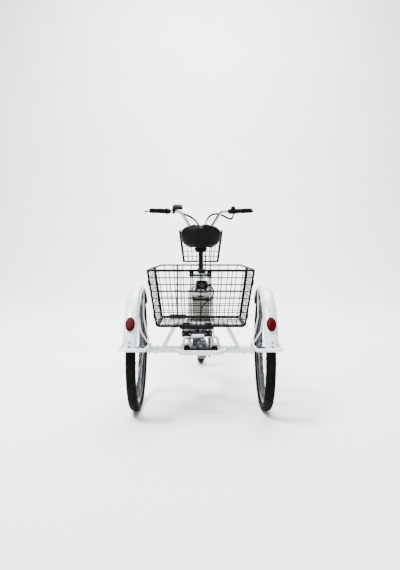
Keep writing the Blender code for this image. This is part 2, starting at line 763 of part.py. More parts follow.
def panel_loops(foot_w, top_w, height, columns, rows, shoulder=0.0):
    """Outline and holes of a flat wire panel, foot at y 0."""

    def at(u, v):
        width = foot_w + (top_w - foot_w) * v
        return ((u - 0.5) * width, v * height)

    outer = [at(0, 0), at(1, 0), at(1, 1), at(0, 1)]
    if shoulder:
        x, y = at(1, 1)
        outer = [at(0, 0), at(1, 0), (x, y - shoulder), (x - 3 * shoulder, y), (-x + 3 * shoulder, y), (-x, y - shoulder)]
    edge_u = FRAME_WIRE_W / top_w
    edge_v = FRAME_WIRE_W / height
    half_u = WIRE_W / 2 / top_w
    half_v = WIRE_W / 2 / height
    holes = []
    for i in range(columns):
        left = edge_u + (1 - 2 * edge_u) * i / columns + (half_u if i else 0)
        right = edge_u + (1 - 2 * edge_u) * (i + 1) / columns - (half_u if i < columns - 1 else 0)
        for j in range(rows):
            low = edge_v + (1 - 2 * edge_v) * j / rows + (half_v if j else 0)
            high = edge_v + (1 - 2 * edge_v) * (j + 1) / rows - (half_v if j < rows - 1 else 0)
            corners = [at(left, low), at(right, low), at(right, high), at(left, high)]
            if shoulder and j == rows - 1 and i in (0, columns - 1):
                outer_corner = 2 if i else 3
                x, y = corners[outer_corner]
                corners[outer_corner] = (x, y - shoulder)
            holes.append(corners)
    return [outer] + holes


def wire_panel(name, foot, across, up, foot_w, top_w, height, columns, rows, shoulder=0.0):
    loops = panel_loops(foot_w, top_w, height, columns, rows, shoulder)
    return show(flat_outline(name, loops, WIRE_T, foot, facing(across, up)), BLACK_WIRE)


def rear_basket():
    floor_back = -BASKET_BACK_FLOOR
    floor_front = -BASKET_FRONT
    rise = BASKET_TOP_Z - BASKET_FLOOR_Z
    flare = (BASKET_TOP_W - BASKET_FLOOR_W) / 2
    lean = BASKET_BACK_TOP - BASKET_BACK_FLOOR
    half_t = WIRE_T / 2
    back = wire_panel("rear_basket_back", rear(0, BASKET_BACK_FLOOR, BASKET_FLOOR_Z), (1, 0, 0), (0, -lean, rise),
                      BASKET_FLOOR_W, BASKET_TOP_W, sqrt(lean ** 2 + rise ** 2), 6, 4)
    front = wire_panel("rear_basket_front", rear(0, BASKET_FRONT, BASKET_FLOOR_Z), (1, 0, 0), (0, 0, 1),
                       BASKET_FLOOR_W, BASKET_TOP_W, rise + BASKET_FRONT_LIFT, 6, 4, BASKET_FRONT_LIFT)
    seam = half_t + GAP
    panels = [back, front]
    slant = sqrt(flare ** 2 + rise ** 2)
    for side, word in ((-1, "left"), (1, "right")):
        foot_w = BASKET_BACK_FLOOR - BASKET_FRONT - 2 * seam - 0.001
        top_w = BASKET_BACK_TOP - BASKET_FRONT - 2 * seam - 0.001
        middle = (BASKET_BACK_FLOOR + BASKET_FRONT) / 2
        panels.append(side_panel("rear_basket_" + word, side, foot_w, top_w, slant, flare, rise, middle))
    floor_w = BASKET_FLOOR_W - 2 * seam - 0.0045
    floor_l = BASKET_BACK_FLOOR - BASKET_FRONT - 2 * seam - 0.0015
    floor_at = rear(0, BASKET_BACK_FLOOR - seam - 0.001, BASKET_FLOOR_Z)
    panels.append(wire_panel("rear_basket_floor", floor_at, (1, 0, 0), (0, 1, 0), floor_w, floor_w, floor_l, 4, 3))
    return panels


def side_panel(name, side, foot_w, top_w, slant, flare, rise, middle):
    """A slanted side whose front edge is upright and whose back edge leans with the back panel."""
    lean = top_w - foot_w
    loops = []
    for loop in panel_loops(foot_w, top_w, slant, 3, 4):
        loops.append([(x - lean / 2 * (y / slant), y) for x, y in loop])
    across = Vector((0, 1, 0))
    up = Vector((side * flare, 0, rise))
    half_t = WIRE_T / 2
    foot = rear(side * (BASKET_FLOOR_W / 2 - half_t), middle, BASKET_FLOOR_Z)
    return show(flat_outline(name, loops, WIRE_T, foot, facing(across, up)), BLACK_WIRE)


# Main frame

def main_tube_path():
    low = Vector((0, BB.y + 0.150, BB_Z + 0.012))
    bend = Vector((0, FRONT_Y - FENDER_R - 0.092, AXLE_Z + 0.155))
    return rounded([BB, low, bend, steer(0, -0.004, (HEAD_FROM + HEAD_TO) / 2)], 0.130, 3)


def main_frame():
    frame = rod("main_frame", seat_line(BB_Z), seat_line(SEAT_TUBE_TOP), SEAT_TUBE_R)
    shell = rod("bb_shell", BB - Vector((BB_HALF, 0, 0)), BB + Vector((BB_HALF, 0, 0)), BB_R)
    head = rod("head_tube", steer(0, 0, HEAD_FROM), steer(0, 0, HEAD_TO), HEAD_R)
    low = Vector((0, BB.y + 0.150, BB_Z + 0.012))
    main_tube = pipe("main_tube", main_tube_path(), MAIN_TUBE_R, 2)
    flange_y = -FLANGE_AHEAD - FLANGE_T - GAP
    spine = rod("spine", BB, rear(0, flange_y, AXLE_Z - 0.005), SPINE_R)
    flange = box("main_flange", (FLANGE_W, FLANGE_T, FLANGE_W), rear(0, flange_y, AXLE_Z - 0.005))
    brace = pipe("brace", rounded([seat_line(BB_Z + BRACE_RISE), Vector((0, BB.y + 0.120, BB_Z + 0.070)), low], 0.08, 3),
                 0.0110, 1)
    union(frame, shell, head, main_tube, spine, flange, brace)
    bores = [rod("bb_bore", BB - Vector((0.1, 0, 0)), BB + Vector((0.1, 0, 0)), bore_r(CRANK_AXLE_R)),
             rod("head_bore", steer(0, 0, HEAD_FROM - 0.05), steer(0, 0, HEAD_TO + 0.05), bore_r(STEERER_R)),
             rod("seat_bore", seat_line(SEAT_BORE_FLOOR), seat_line(SEAT_TUBE_TOP + 0.05), bore_r(POST_R))]
    return show(cut(frame, *bores), WHITE)


def seat_frame_point(across, back, z):
    return seat_line(z) + Vector((across, 0, 0)) + SEAT_BACK * back


def seat_clamp():
    """The split collar at the top of the seat tube and the lever that closes it."""
    top = seat_line(SEAT_TUBE_TOP + 0.003)
    low = seat_line(SEAT_TUBE_TOP - 0.013)
    outer = SEAT_TUBE_R + 0.0045
    collar = rod("seat_clamp", low, top, outer, 12)
    middle = (low + top) / 2
    lug = box("clamp_lug", (0.020, 0.018, 0.012), middle + SEAT_BACK * 0.0255, SEAT_TURN)
    union(collar, lug)
    hole = rod("clamp_hole", seat_line(SEAT_TUBE_TOP - 0.05), seat_line(SEAT_TUBE_TOP + GAP), bore_r(SEAT_TUBE_R, 12), 12)
    mouth = rod("clamp_mouth", low, seat_line(SEAT_TUBE_TOP + 0.05), bore_r(POST_R, 12), 12)
    slot = box("clamp_slot", (0.002, 0.026, 0.05), middle + SEAT_BACK * 0.0285, SEAT_TURN)
    pin_at = middle + SEAT_BACK * 0.0295
    pin = rod("clamp_pin", pin_at - Vector((0.016, 0, 0)), pin_at + Vector((0.0105, 0, 0)), 0.0028, 8)
    cut(collar, hole, mouth, slot)
    union(collar, pin)
    show(collar, PLASTIC)
    pivot = pin_at + Vector((0.0175, 0, 0))
    lever = rod("seat_clamp_lever", pivot - Vector((0.0065, 0, 0)), pivot + Vector((0.0065, 0, 0)), 0.0085, 12)
    handle = pipe("clamp_handle", [pivot + Vector((0.003, 0, 0)), pivot + Vector((0.008, 0.018, -0.008)),
                                   pivot + Vector((0.008, 0.060, -0.020))], 0.0038, 1)
    show(union(lever, handle), PLASTIC)
    carry(joint_at("seat_lever_joint", pivot, (1, 0, 0)), lever)


def battery_group():
    middle_z = BB_Z + BATTERY_FOOT + BATTERY_L * SEAT_UP.z / 2
    back = BATTERY_SETBACK + BATTERY_D / 2
    centre = seat_frame_point(0, back, middle_z)
    case = box("battery_case", (BATTERY_W, BATTERY_D, BATTERY_L), centre, SEAT_TURN, bevel=0.008)
    grip = rounded([centre + SEAT_UP * (BATTERY_L / 2 - 0.005) + Vector((-0.026, 0, 0)),
                    centre + SEAT_UP * (BATTERY_L / 2 + 0.024) + Vector((-0.026, 0, 0)),
                    centre + SEAT_UP * (BATTERY_L / 2 + 0.024) + Vector((0.026, 0, 0)),
                    centre + SEAT_UP * (BATTERY_L / 2 - 0.005) + Vector((0.026, 0, 0))], 0.010, 3)
    show(union(case, pipe("battery_grip", grip, 0.0055, 1)), GREY)
    carry(joint_at("battery_joint", centre, SEAT_UP), case)
    rail_t = BATTERY_SETBACK - SEAT_TUBE_R - 2 * GAP
    rail = box("battery_rail", (0.034, rail_t + 0.008, BATTERY_L + CONTROLLER_L + 0.004),
               centre - SEAT_UP * (CONTROLLER_L / 2 + 0.002)
               - SEAT_BACK * (BATTERY_D / 2 + GAP + (rail_t + 0.008) / 2), SEAT_TURN)
    room = rod("rail_room", seat_line(BB_Z), seat_line(SEAT_TUBE_TOP), SEAT_TUBE_R + GAP)
    show(cut(rail, room), ALLOY)
    drop = BATTERY_L / 2 + CONTROLLER_L / 2 + 2 * GAP
    show(box("controller", (CONTROLLER_W, BATTERY_D - 0.010, CONTROLLER_L), centre - SEAT_UP * drop
             - SEAT_BACK * 0.005, SEAT_TURN, bevel=0.004), PLASTIC)


def key_switch():
    """The box with the key barrel on the battery guard's top bar."""
    bar = rear(0, -YOKE_Y - BATTERY_GUARD_LEAN, BATTERY_GUARD_TOP)
    centre = bar + Vector((0.005, -0.0165, 0.006))
    made = box("key_switch_box", (0.064, 0.022, 0.048), centre, bevel=0.005)
    room = pipe("key_room", battery_guard_path(), BATTERY_GUARD_R + 2 * GAP, 1)
    face = centre - Vector((0, 0.011, 0))
    socket = rod("key_socket", face - Vector((0, 0.01, 0)), face + Vector((0, 0.008, 0)), bore_r(0.0090))
    show(cut(made, room, socket), PLASTIC)
    barrel = rod("key_barrel", face - Vector((0, 0.002, 0)), face + Vector((0, 0.008 - GAP, 0)), 0.0090)
    slot = box("key_slot", (0.0022, 0.006, 0.010), face - Vector((0, 0.002, 0)))
    show(cut(barrel, slot), STEEL)
    carry(joint_at("key_joint", face, (0, 1, 0)), barrel)


MOTOR_AXIS = rear(0, -MOTOR_Y, MOTOR_Z)


def drive_motor():
    """The motor can with its end bells and foot, ahead of the axle."""
    wide = MOTOR_TO - MOTOR_FROM
    top = wide / 2
    profile = [(0.0, top), (MOTOR_R * 0.45, top), (MOTOR_R * 0.90, top - 0.008), (MOTOR_R, top - 0.018),
               (MOTOR_R, -top + 0.016), (MOTOR_R * 0.86, -top + 0.006), (MOTOR_R * 0.40, -top), (0.0, -top)]
    centre = MOTOR_AXIS + Vector(((MOTOR_FROM + MOTOR_TO) / 2, 0, 0))
    motor = turned("drive_motor", profile, centre, (1, 0, 0))
    foot = box("motor_foot", (0.044, 0.056, 0.062), rear(-0.022, -YOKE_Y + 0.030, AXLE_Z + 0.021))
    union(motor, foot)
    room = pipe("yoke_room", yoke_path(), YOKE_R + 1.2 * GAP, 1)
    return show(cut(motor, room), ALLOY)


# Cables

def motor_cable():
    """From the key box, out beside the battery, in behind it and down to the motor."""
    bar = rear(0, -YOKE_Y - BATTERY_GUARD_LEAN, BATTERY_GUARD_TOP)
    box_side = bar + Vector((0.005 + 0.032 + GAP, -0.0165, 0.004))
    last = MOTOR_AXIS + Vector((-0.015, -MOTOR_R - 0.006, 0.016))
    path = smooth([box_side + Vector((0.004, 0, 0)), box_side + Vector((0.014, 0, -0.001)),
                   box_side + Vector((0.028, -0.002, -0.020)),
                   box_side + Vector((0.031, -0.004, -0.044)), box_side + Vector((0.018, -0.008, -0.072)),
                   box_side + Vector((-0.012, -0.012, -0.092)), box_side + Vector((-0.034, -0.014, -0.122)),
                   box_side + Vector((-0.038, -0.014, -0.165)), last + Vector((0.005, -0.004, 0.020)), last], 2)
    cable = pipe("motor_cable", [box_side] + path, 0.0035, 1)
    inside = MOTOR_AXIS + Vector((MOTOR_FROM + 0.01, 0, 0))
    room = rod("motor_room", inside, MOTOR_AXIS + Vector((MOTOR_TO - 0.01, 0, 0)), MOTOR_R + GAP)
    return show(cut(cable, room), PLASTIC)


# Drive

def sprocket_loop(teeth, tip):
    """Valleys on the pins' angles and a tooth between each two, flat-topped where the tip has a width."""
    radius = PITCH / 2 / sin(pi / teeth)
    loop = []
    for i in range(teeth):
        valley = 2 * pi * i / teeth
        crest = valley + pi / teeth
        half = tip / 2 / radius
        loop.append(((radius - 0.0040) * cos(valley), (radius - 0.0040) * sin(valley)))
        for angle in ((crest - half, crest + half) if tip else (crest,)):
            loop.append(((radius + 0.0022) * cos(angle), (radius + 0.0022) * sin(angle)))
    return loop


RING_R = PITCH / 2 / sin(pi / RING_TEETH)
COG_R = PITCH / 2 / sin(pi / COG_TEETH)
HUB = Vector((0, REAR_Y, AXLE_Z))


def seated_pins(centre, radius, teeth, low, high):
    """The pins that sit in a sprocket's valleys between two angles, as place and outward direction."""
    step = 2 * pi / teeth
    angles = [step * i for i in range(round(low / step), round(high / step) + 1)]
    return [(Vector((centre.y + radius * cos(a), centre.z + radius * sin(a))), Vector((cos(a), sin(a))), 0)
            for a in angles]


def run_pins(start, end):
    """The pins of a straight run, each with its distance in links from the nearer seated pin."""
    run = end[0] - start[0]
    links = round(run.length / PITCH)
    out = Vector((run.y, -run.x)).normalized()
    return [(start[0] + run * i / links, out, min(i, links - i)) for i in range(1, links)]


def chain_loops():
    """Outer and inner edge of a chain wrapped on both sprockets, with a pocket over each tooth it meets."""
    span = BB - HUB
    tilt = atan2(span.z, span.y)
    spread = asin((RING_R - COG_R) / span.length)
    front = seated_pins(BB, RING_R, RING_TEETH, tilt - pi / 2 - spread, tilt + pi / 2 + spread)
    back = seated_pins(HUB, COG_R, COG_TEETH, tilt + pi / 2 + spread, tilt + 3 * pi / 2 - spread)
    pins = front + run_pins(front[-1], back[0]) + back + run_pins(back[-1], front[0])
    outer, inner = [], []
    for (place, out, far), (next_place, next_out, next_far) in zip(pins, pins[1:] + pins[:1]):
        if far > 3:
            continue
        outer.append(place + 0.0048 * out)
        inner.append(place - 0.0034 * out)
        if min(far, next_far) > 2:
            continue
        middle = (place + next_place) / 2
        middle_out = (out + next_out).normalized()
        ahead = (next_place - place).normalized()
        for way in (-0.0027, 0.0027):
            inner.append(middle + 0.0030 * middle_out + way * ahead)
    return [outer, inner]


def drive_train():
    chain = flat_outline("drive_chain", chain_loops(), CHAIN_W, (CHAIN_X, 0, 0), SIDE_ON)
    show(chain, STEEL)
    cog_loops = [sprocket_loop(COG_TEETH, 0.0024), circle(0.0150, 12, phase=pi / 12)]
    cog = show(flat_outline("drive_sprocket", cog_loops, TOOTH_T, HUB + Vector((CHAIN_X, 0, 0)), SIDE_ON), GOLD)
    hub_to = CHAIN_X - TOOTH_T / 2 - GAP
    stub = SHAFT_END - GAP
    profile = [(0.0, stub), (0.0135, stub), (0.0135, hub_to), (0.0240, hub_to), (0.0240, CASE_TO), (CASE_R, CASE_TO),
               (CASE_R, CASE_FROM), (0.0200, CASE_FROM - 0.008), (0.0200, -stub), (0.0, -stub)]
    case = show(turned("differential_case", profile, HUB, (1, 0, 0), 12), ALLOY)
    carry(joint_at("differential", HUB, (1, 0, 0)), cog, case)


def crank_arm(name, side, angle, extra=()):
    """A tapered arm from the axle to the pedal's thread."""
    reach = Vector((0, cos(angle), sin(angle)))
    end = BB + reach * CRANK_L
    x = side * (CRANK_X + CRANK_T / 2)
    loops = []
    wide, narrow = 0.0165, 0.0125
    outline = [(-wide * 0.7, -wide * 0.7), (0, -wide), (CRANK_L * 0.5, -narrow * 0.85), (CRANK_L, -narrow),
               (CRANK_L + narrow * 0.7, -narrow * 0.7), (CRANK_L + narrow, 0), (CRANK_L + narrow * 0.7, narrow * 0.7),
               (CRANK_L, narrow), (CRANK_L * 0.5, narrow * 0.85), (0, wide), (-wide * 0.7, wide * 0.7), (-wide, 0)]
    loops.append(outline)
    square = Vector((0, -sin(angle), cos(angle)))
    turn = Matrix((reach, square, Vector((1, 0, 0)))).transposed().to_4x4()
    arm = flat_outline(name, loops, CRANK_T, BB + Vector((x, 0, 0)), turn)
    spindle_to = PEDAL_IN + PEDAL_W + 0.004
    spindle = rod(name + "_spindle", end + Vector((x, 0, 0)), end + Vector((side * spindle_to, 0, 0)), SPINDLE_R, 12)
    return union(arm, spindle, *extra), end


def crankset():
    left_angle = radians(CRANK_ANGLE)
    right_angle = left_angle + pi
    axle = rod("crank_axle", BB - Vector((CRANK_X + 0.006, 0, 0)), BB + Vector((CRANK_X + 0.006, 0, 0)), CRANK_AXLE_R)
    loops = [sprocket_loop(RING_TEETH, 0.0)]
    for i in range(5):
        middle = 2 * pi * (i + 0.5) / 5
        loops.append([(0.045 * cos(middle) + r * cos(a + middle), 0.045 * sin(middle) + r * sin(a + middle))
                      for a, r in ((0, 0.014), (pi / 3, 0.0175), (pi, 0.015), (5 * pi / 3, 0.0175))])
    ring = flat_outline("chainring", loops, TOOTH_T, BB + Vector((CHAIN_X, 0, 0)), SIDE_ON)
    spacer = rod("ring_spacer", BB + Vector((BB_HALF + 0.004, 0, 0)), BB + Vector((CRANK_X + 0.002, 0, 0)), 0.0170)
    left, left_end = crank_arm("crank_left", -1, left_angle)
    made, right_end = crank_arm("crankset", 1, right_angle, (ring, spacer, axle, left))
    cranks = joint_at("cranks", BB, (1, 0, 0))
    carry(cranks, show(join_flat_faces(made), ALLOY))
    for side, word, end in ((-1, "left", left_end), (1, "right", right_end)):
        turn = joint_at("pedal_joint_" + word, end, (1, 0, 0))
        carry(turn, pedal("pedal_" + word, side, end))
        carry(cranks, turn)


def pedal(name, side, end):
    """A cage of two serrated treads round a bored core."""
    middle = end + Vector((side * (PEDAL_IN + PEDAL_W / 2), 0, 0))
    teeth = 4
    half_w, half_d = PEDAL_W / 2, PEDAL_D / 2
    tread = [(-half_w + PEDAL_W * i / (2 * teeth - 1), (half_d if i % 2 else half_d - 0.004))
             for i in range(2 * teeth)]
    outer = [(-x, y) for x, y in tread] + [(x, -y) for x, y in tread]
    slots = []
    for way in (-1, 1):
        low, high = way * 0.0125, way * (half_d - 0.011)
        for from_x, to_x in ((-half_w + 0.010, -0.003), (0.003, half_w - 0.010)):
            slots.append([(from_x, low), (to_x, low), (to_x, high), (from_x, high)])
    body = flat_outline(name, [outer] + slots, PEDAL_H, middle, facing((1, 0, 0), (0, 1, 0)))
    bore = rod(name + "_bore", middle - Vector((0.1, 0, 0)), middle + Vector((0.1, 0, 0)), bore_r(SPINDLE_R, 12), 12)
    return show(cut(body, bore), PLASTIC)


# Seat

def saddle_half_width(t):
    """Half width along the saddle, 0 at the back and 1 at the nose."""
    back = sqrt(max(0.0, 1 - (1 - min(t, 0.22) / 0.22) ** 2))
    taper = 1 / (1 + ((t - 0.10) / 0.42) ** 4) if t > 0.10 else 1.0
    nose = sqrt(max(0.0, 1 - max(0.0, (t - 0.88) / 0.12) ** 2))
    return (NOSE_W / 2 + (SADDLE_W - NOSE_W) / 2 * taper * (1 - 0.25 * t)) * back * nose


def saddle_plan(share, first, last):
    """The saddle seen from above, narrowed, as an outline between two places along it."""
    half = []
    steps = 6
    for i in range(steps + 1):
        t = first + (last - first) * i / steps
        half.append((saddle_half_width(t) * share, SADDLE_BACK + SADDLE_L * t))
    return half + [(-x, y) for x, y in reversed(half)]


def saddle_cushion():
    """A crowned pad with a turned-under skirt, a shallow dip down its middle and a hollow for its springs."""
    sections, around = 8, 12
    bm = bmesh.new()
    rings = []
    for i in range(sections):
        t = 0.012 + 0.976 * i / (sections - 1)
        half = saddle_half_width(t)
        top = SADDLE_TOP - 0.012 * t - 0.010 * sin(pi * t)
        low = SADDLE_SKIRT - 0.010 + 0.028 * t
        depth = top - low
        ring = []
        for j in range(around):
            angle = 2 * pi * j / around
            x = abs(cos(angle)) ** 0.75 * (1 if cos(angle) > 0 else -1)
            z = abs(sin(angle)) ** 0.75 * (1 if sin(angle) > 0 else -1)
            dip = 0.006 * max(0.0, 1 - abs(x) / 0.35) * (1 if z > 0 else 0) * (1 - t)
            pull = 1 - 0.10 * max(0.0, -z)
            ring.append(bm.verts.new((x * half * pull, SADDLE_BACK + SADDLE_L * t,
                                      low + depth * (0.5 + 0.5 * z) - dip)))
        rings.append(ring)
    for low, high in zip(rings, rings[1:]):
        for j in range(around):
            k = (j + 1) % around
            bm.faces.new((low[j], low[k], high[k], high[j]))
    bm.faces.new(rings[0])
    bm.faces.new(rings[-1])
    obj = mesh_part("saddle_cushion", bm)
    soften = obj.modifiers.new("soften", "SUBSURF")
    soften.levels = 1
    soften.render_levels = 1
    floor = box("cushion_floor", (0.4, 0.4, 0.04), (0, SADDLE_BACK + 0.13, SADDLE_SKIRT - 0.020))
    ceiling = SADDLE_BASE + GAP + 0.0015
    deep = ceiling - SADDLE_SKIRT + 0.030
    hollow = flat_outline("cushion_hollow", [saddle_plan(SADDLE_HOLLOW, 0.07, 0.90)], deep,
                          (0, 0, ceiling - deep / 2), Matrix.Identity(4))
    return show(cut(obj, floor, hollow), SEAT)


def saddle_frame():
    """The moulded base, its two rails, the rear bar and the clamp round the post."""
    plate_t = 0.006
    plate = flat_outline("saddle_frame", [saddle_plan(SADDLE_HOLLOW - 0.04, 0.09, 0.88)], plate_t, (0, 0, SADDLE_BASE + 0.0010 - plate_t / 2),
                         Matrix.Identity(4))
    nose_y = SADDLE_BACK + SADDLE_L * 0.86
    bar_y = SADDLE_BACK + SPRING_BACK
    rails = []
    for side in (-1, 1):
        rails.append(pipe("rail", [(side * 0.012, nose_y, SADDLE_BASE - 0.003),
                                   (side * 0.020, nose_y - 0.030, SADDLE_BASE - 0.024),
                                   (side * 0.022, nose_y - 0.055, SADDLE_BAR_Z + 0.009),
                                   (side * 0.024, nose_y - 0.120, SADDLE_BAR_Z + 0.003),
                                   (side * SPRING_X, bar_y, SADDLE_BAR_Z)], 0.0036, 1))
    cross = rod("rear_bar", (-SPRING_X - 0.014, bar_y, SADDLE_BAR_Z), (SPRING_X + 0.014, bar_y, SADDLE_BAR_Z), 0.0055, 8)
    pads = []
    for side in (-1, 1):
        pads.append(rod("spring_foot", (side * SPRING_X, bar_y, SADDLE_BAR_Z - 0.002),
                        (side * SPRING_X, bar_y, SADDLE_BAR_Z + 0.0065), 0.0170, 8))
    top = seat_line(POST_TOP)
    clamp = box("post_clamp", (0.060, 0.040, 0.036), top + Vector((0, 0, -0.006)), bevel=0.006)
    union(plate, *rails, cross, *pads, clamp)
    socket = rod("post_socket", seat_line(POST_TOP - 0.08), seat_line(POST_TOP + GAP), bore_r(POST_R))
    return show(cut(plate, socket), PLASTIC)


def coil(name, foot, height):
    """An open coil of round wire, with the least gap between its turns printed."""
    per_turn = 8
    count = per_turn * SPRING_TURNS
    wire = SPRING_WIRE
    low = foot.z + wire
    rise = (height - 2 * wire) / count
    path = [Vector((foot.x + SPRING_R * cos(2 * pi * i / per_turn), foot.y + SPRING_R * sin(2 * pi * i / per_turn),
                    low + rise * i)) for i in range(count + 1)]
    print(name, "least gap to itself", round((rise * per_turn - 2 * wire) * 1000, 2), "mm")
    return show(tube(name, path, wire, 1), CHROME)


def seat_group():
    post = show(rod("seat_post", seat_line(POST_FOOT), seat_line(POST_TOP), POST_R), PLASTIC)
    foot_z = SADDLE_BAR_Z + 0.0065 + GAP
    height = SADDLE_BASE + 0.0010 - 0.006 - GAP - foot_z
    springs = [coil("saddle_spring_" + word, Vector((side * SPRING_X, SADDLE_BACK + SPRING_BACK, foot_z)), height)
               for side, word in ((-1, "left"), (1, "right"))]
    carry(joint_at("seat_slide", seat_line(SEAT_TUBE_TOP), SEAT_UP), post, saddle_cushion(), saddle_frame(), *springs)


# Steering group

def blade_path(side):
    x = side * FORK_X
    return rounded([steer(x, 0, CROWN_S + 0.012), steer(x, 0, 0.120), steer(x, RAKE - 0.004, 0.012)], 0.16, 3)


def fork():
    crown = box("fork", (2 * FORK_X + 2 * BLADE_R, 0.034, CROWN_H), steer(0, 0, CROWN_S + CROWN_H / 2), STEER_TURN,
                bevel=0.005)
    steerer = rod("steerer", steer(0, 0, CROWN_S + 0.01), steer(0, 0, HEAD_TO + 0.012), STEERER_R)
    seat = rod("crown_race", steer(0, 0, CROWN_S + CROWN_H - 0.002), steer(0, 0, HEAD_FROM - GAP), HEAD_R)
    pieces = [steerer, seat]
    for side in (-1, 1):
        pieces.append(pipe("blade", blade_path(side), BLADE_R, 1))
        pieces.append(rod("dropout", FRONT_HUB + Vector((side * (FRONT_HUB_HALF + 0.0045), 0, 0)),
                          FRONT_HUB + Vector((side * (FRONT_HUB_HALF + 0.0105), 0, 0)), 0.0150, 8))
        pieces.append(rod("axle_nut", FRONT_HUB + Vector((side * (FRONT_HUB_HALF + 0.009), 0, 0)),
                          FRONT_HUB + Vector((side * (FRONT_HUB_HALF + 0.0185), 0, 0)), 0.0090, 6))
    pieces.append(rod("front_axle", FRONT_HUB - Vector((FRONT_HUB_HALF + 0.012, 0, 0)),
                      FRONT_HUB + Vector((FRONT_HUB_HALF + 0.012, 0, 0)), FRONT_AXLE_R))
    plate_x = FLANGE_X + 0.0095
    pieces.append(rod("brake_plate", FRONT_HUB + Vector((plate_x, 0, 0)), FRONT_HUB + Vector((plate_x + 0.0035, 0, 0)),
                      DRUM_R - 0.001))
    pieces.append(rod("plate_boss", FRONT_HUB + Vector((plate_x + 0.002, 0, 0)),
                      FRONT_HUB + Vector((FRONT_HUB_HALF + 0.0065, 0, 0)), 0.0115, 8))
    pieces.append(rod("fender_boss", steer(0, 0, CROWN_S + 0.006), steer(0, 0, 0.300), 0.0070, 8))
    combine(crown, "UNION", pieces, "MANIFOLD")
    room = wheel_clearance("fender_room", FRONT_HUB, 0.07)
    return show(combine(crown, "DIFFERENCE", [room], "MANIFOLD"), WHITE)


def front_fender():
    fender = fender_surface("front_fender", FRONT_HUB, FRONT_FENDER_FROM, FRONT_FENDER_TO, -1)
    stays = []
    for side in (-1, 1):
        r = FENDER_R - FENDER_DROP + 0.003
        angle = radians(150)
        x = side * (FENDER_W / 2 - 0.0008)
        top = FRONT_HUB + Vector((x, r * cos(angle), r * sin(angle)))
        foot = FRONT_HUB + Vector((side * (FRONT_HUB_HALF + 0.0080), -0.0240, 0.0))
        stays.append(pipe("front_stay", [foot, foot.lerp(top, 0.30), top], 0.0025, 0))
    return show(union(fender, *stays), WHITE)


def stem():
    clamp = Vector((0, steer(0, 0, steer_up_to(BAR_Z)).y, BAR_Z))
    made = rod("stem", steer(0, 0, HEAD_TO + 0.013), steer(0, 0, steer_up_to(BAR_Z)), STEM_R)
    nut = rod("stem_nut", steer(0, 0, HEAD_TO + GAP), steer(0, 0, HEAD_TO + 0.014), HEAD_R - 0.001, 12)
    head = rod("bar_clamp", clamp - Vector((0.022, 0, 0)), clamp + Vector((0.022, 0, 0)), 0.0190)
    union(made, nut, head)
    bar = rod("bar_room", clamp - Vector((0.1, 0, 0)), clamp + Vector((0.1, 0, 0)), bore_r(BAR_R))
    socket = rod("steerer_room", steer(0, 0, HEAD_TO - 0.02), steer(0, 0, HEAD_TO + 0.012 + GAP), bore_r(STEERER_R))
    return show(cut(made, bar, socket), CHROME)


CLAMP = Vector((0, steer(0, 0, steer_up_to(BAR_Z)).y, BAR_Z))
GRIP_DIR = Vector((BAR_END_X - BAR_RISE_X, -BAR_SWEEP + 0.012, 0)).normalized()
BAR_END = Vector((BAR_END_X, CLAMP.y - BAR_SWEEP, GRIP_Z))


def on_grip(side, inward, forward=0.0, up=0.0):
    """A point beside the bar, measured inward from its end."""
    point = BAR_END - GRIP_DIR * inward
    square = Vector((-GRIP_DIR.y, GRIP_DIR.x, 0))
    point = point + square * forward + Vector((0, 0, up))
    return Vector((side * point.x, point.y, point.z))


def grip_way(side):
    return Vector((side * GRIP_DIR.x, GRIP_DIR.y, 0))


def handlebar():
    half = [CLAMP + Vector((0.035, 0, 0)), CLAMP + Vector((0.062, 0, 0.004)),
            Vector((BAR_RISE_X, CLAMP.y - 0.012, GRIP_Z)), BAR_END]
    mirrored = [Vector((-p.x, p.y, p.z)) for p in reversed(half)]
    path = rounded(mirrored + half, 0.045, 2)
    return show(tube("handlebar", path, BAR_R, 2), CHROME)


def sleeve(name, side, outer_end, inner_end, radius, flange=0.0):
    """A bored sleeve on the bar between two distances from its end."""
    start, end = on_grip(side, outer_end), on_grip(side, inner_end)
    made = rod(name, start, end, radius, 12)
    if flange:
        union(made, rod(name + "_flange", on_grip(side, inner_end - 0.005), end, radius + flange, 12))
    room = rod(name + "_room", on_grip(side, outer_end - 0.03), on_grip(side, inner_end + 0.03), bore_r(BAR_R + 0.0002, 12), 12)
    return cut(made, room)


def lever_bracket(name, side, inner):
    """The clamp that holds a brake lever ahead of the bar."""
    made = rod(name, on_grip(side, inner), on_grip(side, inner + BRACKET_L), 0.0165, 12)
    turn = facing(grip_way(side), Vector((0, 0, 1)))
    ear = box(name + "_ear", (BRACKET_L, 0.016, 0.036), on_grip(side, inner + BRACKET_L / 2, LEVER_AHEAD - 0.008), turn)
    union(made, ear)
    room = rod(name + "_room", on_grip(side, inner - 0.03), on_grip(side, inner + BRACKET_L + 0.03),
               bore_r(BAR_R + 0.0002, 12), 12)
    slot = box(name + "_slot", (0.034, 0.0084, 0.040), on_grip(side, inner + BRACKET_L / 2 - 0.004,
                                                               LEVER_AHEAD + 0.008), turn)
    pin_at = on_grip(side, inner + BRACKET_L / 2, LEVER_AHEAD)
    cut(made, room, slot)
    return union(made, rod(name + "_pin", pin_at - Vector((0, 0, 0.006)), pin_at + Vector((0, 0, 0.006)), 0.0022, 8))


